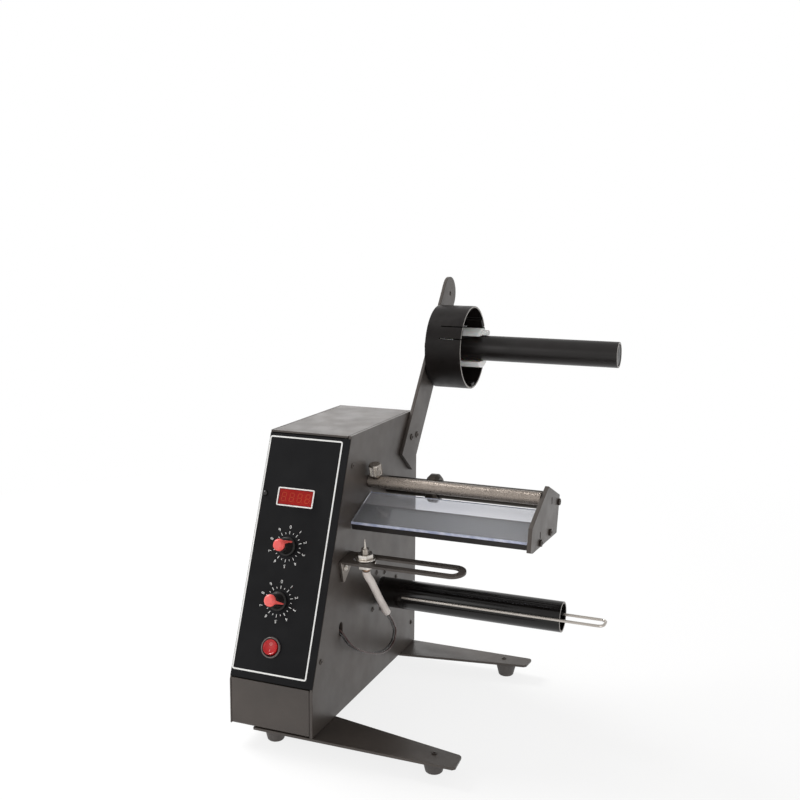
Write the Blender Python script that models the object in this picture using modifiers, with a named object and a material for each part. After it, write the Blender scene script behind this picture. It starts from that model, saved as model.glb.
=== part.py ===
"""Bench label dispenser: a leaning control housing that drives a take-up tube, with a roll holder on an arm.

The model is laid out in machine coordinates: x = 0 on the outer face of the thick side plate, with +X
along the rollers, y = 0 on the lower front face, with +Y to the rear, and z = 0 under the housing floor.
One empty named machine moves all of it, so that the origin ends up in the middle of the base at floor
level. Lengths are in metres.
"""

import math

import bmesh
import bpy
from mathutils import Vector

# Fits that every piece shares
GAP = 0.0003
OVERRUN = 0.002

# Housing
BODY_WIDTH = 0.0694
BODY_HEIGHT = 0.2143
BODY_DEPTH = 0.2080
LOWER_FRONT_HEIGHT = 0.0367
PANEL_TOP_DEPTH = 0.0686
REAR_BEND_RADIUS = 0.0120
SHEET = 0.0015
COVER_SHEET = 0.0012
SIDE_PLATE_THICKNESS = 0.0025

# Control panel, in its own plane: x as above, v up the slope from the crease
PANEL_THICKNESS = 0.0015
OVERLAY_THICKNESS = 0.0004
PANEL_END_GAP = 0.0010
PANEL_TOP_SETBACK = 0.0022
CONTROL_OFFSET = 0.0040
LENGTH_DIAL_V = 0.1017
SPEED_DIAL_V = 0.0603
SWITCH_V = 0.0261
COUNTER_OFFSET = 0.0036
COUNTER_V = 0.13925
COUNTER_WIDTH = 0.0286
COUNTER_HEIGHT = 0.0119
COUNTER_FRAME_WIDTH = 0.0012
COUNTER_FRAME_HEIGHT = 0.0010
WINDOW_THICKNESS = 0.0020
RESET_INSET = 0.0045
RESET_V = 0.1403

# Potentiometers and their pointer knobs
POT_RADIUS = 0.0080
POT_DEPTH = 0.0095
POT_BUSH_RADIUS = 0.0035
POT_BUSH_LENGTH = 0.0022
POT_SHAFT_RADIUS = 0.0030
POT_SHAFT_LENGTH = 0.0085
KNOB_SKIRT_RADIUS = 0.0072
KNOB_SKIRT_HEIGHT = 0.0020
KNOB_TOP_RADIUS = 0.0050
KNOB_HEIGHT = 0.0120
KNOB_BORE_CLEARANCE = 0.0004
KNOB_LIFT = 0.0006
CAP_RADIUS = 0.0045
CAP_HEIGHT = 0.0042
CAP_EDGE = 0.0012
POINTER_WIDTH = 0.0022
POINTER_DEPTH = 0.0012
LENGTH_POINTER_DEGREES = 54
SPEED_POINTER_DEGREES = 100

# Rocker switch
SWITCH_FLANGE_RADIUS = 0.0080
SWITCH_FLANGE_HEIGHT = 0.0016
SWITCH_BARREL_RADIUS = 0.0072
SWITCH_BARREL_LENGTH = 0.0160
SWITCH_CAVITY_RADIUS = 0.0065
SWITCH_CAVITY_DEPTH = 0.0070
ROCKER_RADIUS = 0.0058
ROCKER_THICKNESS = 0.0052
ROCKER_PIVOT_DEPTH = 0.0010
ROCKER_EDGE = 0.0005
ROCKER_TILT_DEGREES = 7

# Reset button and the display board behind the counter
BUTTON_RADIUS = 0.0018
BUTTON_PROUD = 0.0012
BUTTON_COLLAR_RADIUS = 0.0026
BUTTON_COLLAR_HEIGHT = 0.0009
BUTTON_HOLE_CLEARANCE = 0.0004
BUTTON_TRAVEL = 0.0008
TACT_WIDTH = 0.0050
DISPLAY_BOARD_DEPTH = 0.0090
BOARD_THICKNESS = 0.0016
DISPLAY_BOARD_EDGE = 0.0040
DISPLAY_POST_RADIUS = 0.0016

# Control board on the left cover
BOARD_DEPTH_SPAN = 0.0800
BOARD_HEIGHT_SPAN = 0.0660
BOARD_REAR_INSET = 0.0680
BOARD_TOP_INSET = 0.0663
POST_LENGTH = 0.0060
POST_RADIUS = 0.0025
POST_INSET = 0.0060
RELAY_SIZE = 0.0150
HEAT_SINK_HEIGHT = 0.0220
HEAT_SINK_THICKNESS = 0.0060
CAPACITOR_RADIUS = 0.0060
CAPACITOR_HEIGHT = 0.0180
CONNECTOR_HEIGHT = 0.0080

# Transformer on the floor of the housing
TRANSFORMER_REAR_INSET = 0.0750
CORE_WIDTH = 0.0380
CORE_DEPTH = 0.0320
CORE_HEIGHT = 0.0320
COIL_OUTREACH = 0.0080
COIL_INSET = 0.0060
TRANSFORMER_FOOT = 0.0015
TRANSFORMER_FOOT_LENGTH = 0.0520

# Mains inlet in the rear wall
INLET_Z = 0.0330
INLET_FLANGE_WIDTH = 0.0480
INLET_FLANGE_HEIGHT = 0.0226
INLET_FLANGE_THICKNESS = 0.0020
INLET_BODY_WIDTH = 0.0272
INLET_BODY_HEIGHT = 0.0198
INLET_BODY_DEPTH = 0.0190
INLET_SOCKET_WIDTH = 0.0242
INLET_SOCKET_HEIGHT = 0.0168
INLET_SOCKET_DEPTH = 0.0160
INLET_PIN_WIDTH = 0.0020
INLET_PIN_HEIGHT = 0.0040
INLET_PIN_SPACING = 0.0070
INLET_PIN_LENGTH = 0.0130
INLET_EARTH_RISE = 0.0032
INLET_PIN_DROP = 0.0024

# Gear motor behind the side plate and the take-up tube in front of it
TAKE_UP_Y = 0.1240
TAKE_UP_Z = 0.0740
GEARBOX_RADIUS = 0.0205
GEARBOX_LENGTH = 0.0220
GEARBOX_BOSS_RADIUS = 0.0060
MOTOR_RADIUS = 0.0180
MOTOR_COVER_CLEARANCE = 0.0087
MOTOR_TAIL_RADIUS = 0.0060
MOTOR_TAIL_LENGTH = 0.0030
DRIVE_SHAFT_RADIUS = 0.0030
DRIVE_SHAFT_REACH = 0.0210
DRIVE_SHAFT_ROOT = 0.0160
TUBE_RADIUS = 0.0120
TUBE_WALL = 0.0015
TUBE_END_X = 0.1555
DRIVE_HUB_START = 0.0025
DRIVE_HUB_FLANGE = 0.0020
DRIVE_HUB_LENGTH = 0.0190

# Steel paper clip on the take-up tube
CLIP_WIRE_RADIUS = 0.0011
CLIP_WIDTH = 0.0140
CLIP_START_X = 0.0260
CLIP_END_X = 0.1905
CLIP_RISE = 0.0020
CLIP_BEND_RADIUS = 0.0045

# Arm, axle and the roll holder
ARM_THICKNESS = 0.0030
ARM_WIDTH = 0.0310
ARM_LEAN_DEGREES = 37
ARM_LENGTH = 0.1745
ARM_HOLE_RADIUS = 0.0020
SPOOL_DROP = 0.0567
ARM_BOLT_DROP = 0.0216
ARM_BOLT_REAR_INSET = 0.0082
ARM_BOLT_SPACING = 0.0124
ARM_FOOT_REACH = 0.0258
AXLE_RADIUS = 0.0060
AXLE_THREAD_RADIUS = 0.0040
AXLE_SHOULDER_RADIUS = 0.0090
AXLE_END_X = 0.1540
AXLE_THREAD_LENGTH = 0.0075
NUT_HEIGHT = 0.0050
NUT_FLATS = 0.0130
DRUM_RADIUS = 0.0370
DRUM_WALL = 0.0016
DRUM_START_X = 0.0050
DRUM_END_X = 0.0377
DRUM_WEB = 0.0020
DRUM_TONGUE_WIDTH = 0.0114
DRUM_TONGUE_SLIT = 0.0011
DRUM_TONGUE_LENGTH = 0.0200
DRUM_TONGUE_COUNT = 3
DRUM_TONGUE_TURN_DEGREES = 124.7
HUB_RADIUS = 0.0175
HUB_END_X = 0.0470
HUB_BORE_LENGTH = 0.0080
HUB_EDGE = 0.0015
HUB_CORE_RADIUS = 0.0132
HUB_JAW_LENGTH = 0.0205
HUB_SPLIT_LENGTH = 0.0255
HUB_LUG_LENGTH = 0.0053
HUB_LUG_WIDTH = 0.0070
HUB_LUG_HEIGHT = 0.0044
HUB_LUG_ROOT = 0.0020
SUPPLY_TUBE_RADIUS = 0.0112
SUPPLY_TUBE_WALL = 0.0018
SUPPLY_TUBE_END_X = 0.1683
TUBE_CAP_LENGTH = 0.0260
TUBE_CAP_FACE = 0.0120

# Peel table between the side plate and the end plate
TABLE_FRONT_Y = 0.0660
TABLE_FRONT_Z = 0.1483
TABLE_SLOPE_DEGREES = 20.6
ACRYLIC_THICKNESS = 0.0025
ACRYLIC_LENGTH = 0.0417
TABLE_START_X = 0.0007
SUPPORT_THICKNESS = 0.0015
SUPPORT_LENGTH = 0.0265
SUPPORT_LIP = 0.0045
SUPPORT_RIB_Y = 0.0183
TIE_BAR_RADIUS = 0.0030
SPIGOT_RADIUS = 0.0020
FRONT_TIE_Y = 0.0887
FRONT_TIE_Z = 0.14205
LOWER_TIE_Y = 0.1183
LOWER_TIE_Z = 0.1424
END_PLATE_X = 0.1410
END_PLATE_THICKNESS = 0.0032
END_PLATE_OUTLINE = [
    (0.0660, 0.1588),
    (0.1120, 0.1799),
    (0.1486, 0.1650),
    (0.1415, 0.1358),
    (0.0686, 0.1395),
    (0.0622, 0.1415),
]
END_PLATE_SLOT_LENGTH = 0.0055
END_PLATE_SLOT_RADIUS = 0.0011
END_PLATE_SLOTS = [(0.1228, 0.1663), (0.0893, 0.1478)]

# Rods above the table
ROD_RADIUS = 0.0050
ROD_Y = 0.1030
ROD_Z = 0.1720
ROD_STUB_RADIUS = 0.0030
ROD_STUB_LENGTH = 0.0160
THUMB_X = 0.0065
THUMB_LEAN_DEGREES = 15
THUMB_HEAD_RADIUS = 0.0052
THUMB_HEAD_HEIGHT = 0.0105
THUMB_EDGE = 0.0007
THUMB_THREAD_RADIUS = 0.0015
GUIDE_ROD_Y = 0.1435
GUIDE_ROD_Z = 0.1604
GUIDE_ROD_RADIUS = 0.0073
COLLAR_START_X = 0.0355
COLLAR_LENGTH = 0.0104
COLLAR_RADIUS = 0.0125
COLLAR_BEVEL = 0.0025

# Label sensor on its slotted bracket
BRACKET_THICKNESS = 0.0020
BRACKET_TOP_Z = 0.1230
BRACKET_FRONT_Y = 0.0460
BRACKET_WIDTH = 0.0213
BRACKET_END_X = 0.0975
BRACKET_STRIP = 0.0056
BRACKET_SLOT_START_X = 0.0080
BRACKET_TAB_LENGTH = 0.0166
BRACKET_TAB_WIDTH = 0.0236
BRACKET_TAB_SIDE = 0.0050
BRACKET_TAB_TIP = 0.0026
BRACKET_TAB_TIP_OFFSET = 0.0075
BRACKET_TILT_DEGREES = 7
SENSOR_X = 0.0174
SENSOR_RADIUS = 0.0030
SENSOR_LENGTH = 0.0180
SENSOR_BELOW = 0.0070
SENSOR_TIP_RADIUS = 0.0010
SENSOR_TIP_LENGTH = 0.0075
SENSOR_NUT_FLATS = 0.0110
SENSOR_NUT_HEIGHT = 0.0030
SENSOR_WASHER_RADIUS = 0.0078
SENSOR_WASHER_HEIGHT = 0.0010
SLEEVE_RADIUS = 0.0030
LEAD_RADIUS = 0.0015
SLEEVE_ROUTE = [
    (0.0174, 0.05775, 0.11325),
    (0.0174, 0.0585, 0.1110),
    (0.0174, 0.0614, 0.1075),
    (0.0174, 0.0663, 0.1030),
    (0.0172, 0.0752, 0.0934),
    (0.0168, 0.0848, 0.0830),
    (0.0164, 0.0943, 0.0735),
    (0.0160, 0.1033, 0.0647),
]
LEAD_ROUTE = [
    (0.0160, 0.1036, 0.06433),
    (0.0159, 0.1066, 0.0608),
    (0.0157, 0.1130, 0.0548),
    (0.0155, 0.1186, 0.0482),
    (0.0151, 0.1222, 0.0440),
    (0.0147, 0.1234, 0.0397),
    (0.0143, 0.1212, 0.0340),
    (0.0138, 0.1145, 0.0308),
    (0.0130, 0.1060, 0.0302),
    (0.0120, 0.0950, 0.0325),
    (0.0109, 0.0830, 0.0367),
    (0.0092, 0.0710, 0.0420),
    (0.0070, 0.0600, 0.0487),
    (0.0044, 0.0530, 0.0558),
    (0.0014, 0.0500, 0.0623),
    (-0.0025, 0.0495, 0.0657),
    (-0.0075, 0.0500, 0.0672),
    (-0.0125, 0.0520, 0.0680),
]
LEAD_POINT_SPACING = 0.0055
LEAD_HOLE_Y = 0.0495
LEAD_HOLE_Z = 0.0670
LEAD_HOLE_RADIUS = 0.0032
LEAD_HOLE_HEIGHT = 0.0110

# Legs and feet
LEG_THICKNESS = 0.0020
FRONT_LEG_ROOT_WIDTH = 0.0410
FRONT_LEG_END_WIDTH = 0.0200
REAR_LEG_ROOT_WIDTH = 0.0345
REAR_LEG_END_WIDTH = 0.0165
LEG_END_X = 0.1105
LEG_START_X = -0.0500
LEG_CORNER = 0.0020
FOOT_RADIUS = 0.0089
FOOT_BOTTOM_RADIUS = 0.0064
FOOT_HEIGHT = 0.0120
FOOT_EDGE = 0.0008
RIGHT_FOOT_X = 0.0895
LEFT_FOOT_X = -0.0390
FRONT_FOOT_Y = 0.0160
REAR_FOOT_INSET = 0.0080

# Screws: thread and pan head
SCREW_RADIUS = 0.0015
SCREW_HEAD_RADIUS = 0.0027
SCREW_HEAD_HEIGHT = 0.0017
SCREW_HEAD_EDGE = 0.0006
SCREW_REACH = 0.0050

# Segment counts
ROUND_SEGMENTS = 40
SMALL_SEGMENTS = 24
SCREW_SEGMENTS = 14
BEND_SEGMENTS = 8

# Places that follow from the sizes above
SLOPE_LENGTH = math.hypot(PANEL_TOP_DEPTH, BODY_HEIGHT - LOWER_FRONT_HEIGHT)
PANEL_TILT = math.atan2(BODY_HEIGHT - LOWER_FRONT_HEIGHT, PANEL_TOP_DEPTH)
PANEL_LEAN = math.pi / 2 - PANEL_TILT
PANEL_BACK = -(OVERLAY_THICKNESS + GAP + PANEL_THICKNESS)
INNER_LEFT = -BODY_WIDTH + COVER_SHEET
INNER_RIGHT = -SIDE_PLATE_THICKNESS
CONTROL_X = -(BODY_WIDTH / 2 + CONTROL_OFFSET)
COUNTER_X = -(BODY_WIDTH / 2 + COUNTER_OFFSET)
RESET_X = -BODY_WIDTH + RESET_INSET
BOARD_Y = BODY_DEPTH - BOARD_REAR_INSET
BOARD_Z = BODY_HEIGHT - BOARD_TOP_INSET
TRANSFORMER_X = (INNER_LEFT + INNER_RIGHT) / 2
TRANSFORMER_Y = BODY_DEPTH - TRANSFORMER_REAR_INSET
INLET_X = -BODY_WIDTH / 2
MOTOR_SPACE = INNER_RIGHT - INNER_LEFT - GEARBOX_LENGTH - MOTOR_TAIL_LENGTH
MOTOR_LENGTH = MOTOR_SPACE - MOTOR_COVER_CLEARANCE
ARM_LEAN = math.radians(ARM_LEAN_DEGREES)
ARM_ALONG = Vector((0.0, math.sin(ARM_LEAN), math.cos(ARM_LEAN)))
ARM_ACROSS = Vector((0.0, math.cos(ARM_LEAN), -math.sin(ARM_LEAN)))
ARM_BOLT_Z = BODY_HEIGHT - ARM_BOLT_DROP
ARM_BOLT_REAR_Y = BODY_DEPTH - ARM_BOLT_REAR_INSET
ARM_BOLT_FRONT_Y = ARM_BOLT_REAR_Y - ARM_BOLT_SPACING
ARM_FOOT = Vector((0.0, ARM_BOLT_REAR_Y - ARM_BOLT_SPACING / 2, ARM_BOLT_Z)) - ARM_ALONG * ARM_FOOT_REACH
ARM_TIP = ARM_FOOT + ARM_ALONG * ARM_LENGTH
SPOOL_CENTRE = ARM_TIP - ARM_ALONG * SPOOL_DROP
TABLE_SLOPE = math.radians(TABLE_SLOPE_DEGREES)
BRACKET_CENTRE_Y = BRACKET_FRONT_Y + BRACKET_WIDTH / 2
BRACKET_TILT = math.radians(BRACKET_TILT_DEGREES)
OVERLAY_SEAT = OVERLAY_THICKNESS + GAP
REAR_FOOT_Y = BODY_DEPTH - REAR_FOOT_INSET
FLOOR_Z = -(GAP + LEG_THICKNESS + GAP + FOOT_HEIGHT)
MACHINE_REAR = ARM_TIP.y + ARM_WIDTH / 2
ORIGIN = Vector((-(CLIP_END_X - BODY_WIDTH) / 2, -MACHINE_REAR / 2, -FLOOR_Z))

# Colours and finishes: red, green, blue, roughness, metallic
FINISHES = {
    "powder_coat": (0.110, 0.098, 0.090, 0.50, 0.2),
    "panel_black": (0.013, 0.013, 0.015, 0.45, 0.0),
    "black_steel": (0.035, 0.033, 0.032, 0.40, 0.4),
    "black_plastic": (0.015, 0.013, 0.013, 0.35, 0.0),
    "gloss_black": (0.008, 0.008, 0.008, 0.15, 0.0),
    "red_plastic": (0.800, 0.045, 0.050, 0.35, 0.0),
    "red_window": (0.300, 0.010, 0.008, 0.15, 0.0),
    "white_plastic": (0.850, 0.850, 0.840, 0.40, 0.0),
    "acrylic": (0.420, 0.430, 0.480, 0.08, 0.0),
    "steel": (0.550, 0.530, 0.500, 0.30, 1.0),
    "grey_steel": (0.250, 0.240, 0.230, 0.40, 0.8),
    "rubber": (0.030, 0.027, 0.026, 0.80, 0.0),
    "circuit_green": (0.020, 0.150, 0.060, 0.50, 0.0),
    "core_grey": (0.200, 0.200, 0.200, 0.50, 0.6),
    "lead_black": (0.020, 0.020, 0.020, 0.45, 0.0),
}


def clear_scene():
    for obj in list(bpy.data.objects):
        bpy.data.objects.remove(obj, do_unlink=True)


def material(name):
    """The Principled material of one finish, made once."""
    found = bpy.data.materials.get(name)
    if found:
        return found
    red, green, blue, roughness, metallic = FINISHES[name]
    made = bpy.data.materials.new(name)
    made.use_nodes = True
    shader = made.node_tree.nodes["Principled BSDF"]
    shader.inputs["Base Color"].default_value = (red, green, blue, 1.0)
    shader.inputs["Roughness"].default_value = roughness
    shader.inputs["Metallic"].default_value = metallic
    return made


def collection(name):
    found = bpy.data.collections.get(name)
    if not found:
        found = bpy.data.collections.new(name)
        bpy.context.scene.collection.children.link(found)
    return found


def frame_empty(name, place, rotation, parent=None):
    """An empty that carries pieces laid out in a tilted plane or on a joint axis."""
    empty = bpy.data.objects.new(name, None)
    collection("label_dispenser").objects.link(empty)
    empty.parent = parent
    empty.location = place
    empty.rotation_euler = rotation
    return empty


def add_object(name, data, finish, carrier, place=(0, 0, 0), rotation=(0, 0, 0)):
    obj = bpy.data.objects.new(name, data)
    collection("label_dispenser").objects.link(obj)
    obj.parent = carrier
    obj.location = place
    obj.rotation_euler = rotation
    if finish:
        data.materials.append(material(finish))
    return obj


def as_cutter(obj):
    """Moves a piece to the cutters, where it shapes others and isn't part of the model."""
    collection("label_dispenser").objects.unlink(obj)
    collection("cutters").objects.link(obj)
    obj.hide_render = True
    obj.display_type = "WIRE"
    return obj


def smooth(obj, degrees=35):
    obj.data.shade_smooth()
    obj.data.set_sharp_from_angle(angle=math.radians(degrees))


def solid_mesh(obj):
    """Turns a curve or a modified object into a plain closed mesh in the same place."""
    bpy.context.view_layer.update()
    graph = bpy.context.evaluated_depsgraph_get()
    mesh = bpy.data.meshes.new_from_object(obj.evaluated_get(graph))
    bm = bmesh.new()
    bm.from_mesh(mesh)
    bmesh.ops.remove_doubles(bm, verts=bm.verts, dist=GAP / 30)
    bmesh.ops.recalc_face_normals(bm, faces=bm.faces)
    bm.to_mesh(mesh)
    bm.free()
    name = obj.name
    place, rotation, carrier = obj.location.copy(), obj.rotation_euler.copy(), obj.parent
    bpy.data.objects.remove(obj, do_unlink=True)
    made = bpy.data.objects.new(name, mesh)
    collection("label_dispenser").objects.link(made)
    made.parent = carrier
    made.location = place
    made.rotation_euler = rotation
    return made


def flat_piece(name, outlines, thickness, finish, carrier, place=(0, 0, 0), rotation=(0, 0, 0)):
    """A plate from closed outlines in its own XY plane, the first outside and the others holes."""
    curve = bpy.data.curves.new(name, "CURVE")
    curve.dimensions = "2D"
    curve.fill_mode = "BOTH"
    curve.extrude = thickness / 2
    for outline in outlines:
        spline = curve.splines.new("POLY")
        spline.points.add(len(outline) - 1)
        for point, (x, y) in zip(spline.points, outline):
            point.co = (x, y, 0.0, 1.0)
        spline.use_cyclic_u = True
    made = add_object(name, curve, finish, carrier, place, rotation)
    return solid_mesh(made)


# A plate whose outline is given in (y, z) and whose thickness runs along X
FACING_X = (math.radians(90), 0.0, math.radians(90))
# A turned piece whose own axis runs along X
ALONG_X = (0.0, math.radians(90), 0.0)


def turned(
    name, profile, finish, carrier, place=(0, 0, 0), rotation=(0, 0, 0), segments=ROUND_SEGMENTS, ring=False
):
    """A turned piece: (radius, height) points down the outer side, and back up the inner side of a ring."""
    mesh = bpy.data.meshes.new(name)
    bm = bmesh.new()
    points = [bm.verts.new((radius, 0.0, height)) for radius, height in profile]
    for first, second in zip(points, points[1:]):
        bm.edges.new((first, second))
    if ring:
        bm.edges.new((points[-1], points[0]))
    bm.to_mesh(mesh)
    bm.free()
    made = add_object(name, mesh, finish, carrier, place, rotation)
    screw = made.modifiers.new("turn", "SCREW")
    screw.axis = "Z"
    screw.steps = segments
    screw.render_steps = segments
    screw.use_merge_vertices = True
    screw.merge_threshold = GAP / 30
    made = solid_mesh(made)
    smooth(made)
    return made


def block(name, size, centre, finish, carrier, rotation=(0, 0, 0)):
    """A box of the given size about its centre."""
    mesh = bpy.data.meshes.new(name)
    bm = bmesh.new()
    bmesh.ops.create_cube(bm, size=1.0)
    bmesh.ops.scale(bm, vec=Vector(size), verts=bm.verts)
    bm.to_mesh(mesh)
    bm.free()
    made = add_object(name, mesh, finish, carrier, centre, rotation)
    return made


def combine(target, others, operation):
    """Joins or cuts the target with other solids."""
    for other in others:
        change = target.modifiers.new(operation.lower(), "BOOLEAN")
        change.operation = operation
        change.solver = "EXACT"
        change.object = as_cutter(other)
    return target


def circle(centre, radius, segments=SCREW_SEGMENTS):
    step = 2 * math.pi / segments
    x, y = centre
    return [(x + radius * math.cos(n * step), y + radius * math.sin(n * step)) for n in range(segments)]


def hexagon(flats):
    radius = flats / math.sqrt(3)
    return circle((0.0, 0.0), radius, 6)


def slot_outline(centre, radius, length, turn=0.0, segments=SCREW_SEGMENTS):
    """A slot with round ends, its length measured end to end along the turned direction."""
    half = length / 2 - radius
    points = []
    for end in (0, 1):
        for n in range(segments // 2 + 1):
            angle = end * math.pi - math.pi / 2 + n * math.pi / (segments // 2)
            x = (half if end == 0 else -half) + radius * math.cos(angle)
            points.append((x, radius * math.sin(angle)))
    return [
        (
            centre[0] + x * math.cos(turn) - y * math.sin(turn),
            centre[1] + x * math.sin(turn) + y * math.cos(turn),
        )
        for x, y in points
    ]


def rectangle(low_x, high_x, low_y, high_y):
    return [(low_x, low_y), (high_x, low_y), (high_x, high_y), (low_x, high_y)]


def rounded_rectangle(low_x, high_x, low_y, high_y, radius, steps=4):
    corners = [
        (high_x - radius, high_y - radius, 0),
        (low_x + radius, high_y - radius, 1),
        (low_x + radius, low_y + radius, 2),
        (high_x - radius, low_y + radius, 3),
    ]
    points = []
    for x, y, quarter in corners:
        for n in range(steps + 1):
            angle = (quarter + n / steps) * math.pi / 2
            points.append((x + radius * math.cos(angle), y + radius * math.sin(angle)))
    return points


def pan_head_screw(name, place, shank, finish, carrier):
    """A pan head screw that runs along -X from place, its head one gap clear of the face there."""
    top = GAP + SCREW_HEAD_HEIGHT
    profile = [
        (0.0, top),
        (SCREW_HEAD_RADIUS - SCREW_HEAD_EDGE, top),
        (SCREW_HEAD_RADIUS, top - SCREW_HEAD_EDGE),
        (SCREW_HEAD_RADIUS, GAP),
        (SCREW_RADIUS, GAP),
        (SCREW_RADIUS, -shank),
        (0.0, -shank),
    ]
    return turned(name, profile, finish, carrier, place, ALONG_X, SCREW_SEGMENTS)


def screw_hole(place):
    return circle(place, SCREW_RADIUS + GAP)


def side_outline(setback=0.0):
    """The housing's side, from the lower front corner round the bent rear corner to the panel's seat."""
    centre_y = BODY_DEPTH - REAR_BEND_RADIUS
    centre_z = BODY_HEIGHT - REAR_BEND_RADIUS
    bend = []
    for n in range(BEND_SEGMENTS + 1):
        angle = n / BEND_SEGMENTS * math.pi / 2
        y = centre_y + REAR_BEND_RADIUS * math.cos(angle)
        z = centre_z + REAR_BEND_RADIUS * math.sin(angle)
        bend.append((y, z))
    panel_top = (PANEL_TOP_DEPTH + setback / math.cos(PANEL_LEAN), BODY_HEIGHT)
    crease = (0.0, LOWER_FRONT_HEIGHT - setback / math.sin(PANEL_LEAN))
    return [(0.0, 0.0), (BODY_DEPTH, 0.0), *bend, panel_top, crease]


def shell_outline():
    """The folded sheet in side view: lower front, floor, rear wall and top, open at the panel."""
    centre_y = BODY_DEPTH - REAR_BEND_RADIUS
    centre_z = BODY_HEIGHT - REAR_BEND_RADIUS
    outer = [(0.0, LOWER_FRONT_HEIGHT), (0.0, 0.0), (BODY_DEPTH, 0.0)]
    inner = [(BODY_DEPTH - SHEET, SHEET), (SHEET, SHEET), (SHEET, LOWER_FRONT_HEIGHT)]
    outer_bend = []
    inner_bend = []
    for n in range(BEND_SEGMENTS + 1):
        angle = n / BEND_SEGMENTS * math.pi / 2
        for bend, radius in ((outer_bend, REAR_BEND_RADIUS), (inner_bend, REAR_BEND_RADIUS - SHEET)):
            bend.append((centre_y + radius * math.cos(angle), centre_z + radius * math.sin(angle)))
    top = [(PANEL_TOP_DEPTH, BODY_HEIGHT), (PANEL_TOP_DEPTH, BODY_HEIGHT - SHEET)]
    return outer + outer_bend + top + inner_bend[::-1] + inner


def foot_places():
    return {
        "foot_front_right": (RIGHT_FOOT_X, FRONT_FOOT_Y),
        "foot_front_left": (LEFT_FOOT_X, FRONT_FOOT_Y),
        "foot_rear_right": (RIGHT_FOOT_X, REAR_FOOT_Y),
        "foot_rear_left": (LEFT_FOOT_X, REAR_FOOT_Y),
    }


def make_housing(machine):
    width = BODY_WIDTH - COVER_SHEET - SIDE_PLATE_THICKNESS - 2 * GAP
    centre_x = (INNER_LEFT + INNER_RIGHT) / 2
    place = (centre_x, 0, 0)
    shell = flat_piece("housing_shell", [shell_outline()], width, "powder_coat", machine, place, FACING_X)
    inlet_hole = block(
        "inlet_hole",
        (INLET_BODY_WIDTH + 2 * GAP, SHEET + 2 * OVERRUN, INLET_BODY_HEIGHT + 2 * GAP),
        (INLET_X, BODY_DEPTH - SHEET / 2, INLET_Z),
        None,
        machine,
    )
    combine(shell, [inlet_hole], "DIFFERENCE")
    shell.data.materials.append(material("powder_coat"))

    cover_x = -BODY_WIDTH + COVER_SHEET / 2
    outline = side_outline(OVERLAY_SEAT)
    flat_piece("left_cover", [outline], COVER_SHEET, "powder_coat", machine, (cover_x, 0, 0), FACING_X)

    holes = [screw_hole(place) for place in arm_bolt_places()]
    holes += [circle(place, SPIGOT_RADIUS + GAP) for place in rail_places()]
    holes.append(circle((TAKE_UP_Y, TAKE_UP_Z), GEARBOX_BOSS_RADIUS + GAP, SMALL_SEGMENTS))
    lead_hole = slot_outline((LEAD_HOLE_Y, LEAD_HOLE_Z), LEAD_HOLE_RADIUS, LEAD_HOLE_HEIGHT, math.pi / 2)
    outlines = [side_outline(), lead_hole, *holes]
    place = (-SIDE_PLATE_THICKNESS / 2, 0, 0)
    flat_piece("side_plate", outlines, SIDE_PLATE_THICKNESS, "powder_coat", machine, place, FACING_X)


def panel_openings(slack):
    """Holes for the counter, dials, switch and button, in panel coordinates."""
    half_width = COUNTER_WIDTH / 2 + slack
    half_height = COUNTER_HEIGHT / 2 + slack
    return [
        rectangle(
            COUNTER_X - half_width, COUNTER_X + half_width, COUNTER_V - half_height, COUNTER_V + half_height
        ),
        circle((CONTROL_X, LENGTH_DIAL_V), POT_BUSH_RADIUS + slack, SMALL_SEGMENTS),
        circle((CONTROL_X, SPEED_DIAL_V), POT_BUSH_RADIUS + slack, SMALL_SEGMENTS),
        circle((CONTROL_X, SWITCH_V), SWITCH_BARREL_RADIUS + slack, ROUND_SEGMENTS),
        circle((RESET_X, RESET_V), BUTTON_RADIUS + BUTTON_HOLE_CLEARANCE, SMALL_SEGMENTS),
    ]


def make_panel(panel):
    left = INNER_LEFT + GAP
    right = INNER_RIGHT - GAP
    high = SLOPE_LENGTH - PANEL_TOP_SETBACK
    outline = rectangle(left, right, PANEL_END_GAP, high)
    place = (0, 0, -OVERLAY_SEAT - PANEL_THICKNESS / 2)
    flat_piece("front_panel", [outline, *panel_openings(GAP)], PANEL_THICKNESS, "panel_black", panel, place)
    outline = rectangle(-BODY_WIDTH + GAP, right, PANEL_END_GAP, high)
    place = (0, 0, -OVERLAY_THICKNESS / 2)
    outlines = [outline, *panel_openings(GAP)]
    flat_piece("panel_overlay", outlines, OVERLAY_THICKNESS, "panel_black", panel, place)

    low_x = COUNTER_X - COUNTER_WIDTH / 2
    high_x = COUNTER_X + COUNTER_WIDTH / 2
    low_v = COUNTER_V - COUNTER_HEIGHT / 2
    high_v = COUNTER_V + COUNTER_HEIGHT / 2
    rim = COUNTER_FRAME_WIDTH
    outer = rounded_rectangle(low_x - rim, high_x + rim, low_v - rim, high_v + rim, rim)
    inner = rectangle(low_x + GAP, high_x - GAP, low_v + GAP, high_v - GAP)
    place = (0, 0, GAP + COUNTER_FRAME_HEIGHT / 2)
    flat_piece("counter_frame", [outer, inner], COUNTER_FRAME_HEIGHT, "white_plastic", panel, place)
    size = (COUNTER_WIDTH - 2 * GAP, COUNTER_HEIGHT - 2 * GAP, WINDOW_THICKNESS)
    place = (COUNTER_X, COUNTER_V, -WINDOW_THICKNESS / 2)
    block("counter_window", size, place, "red_window", panel)


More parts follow.
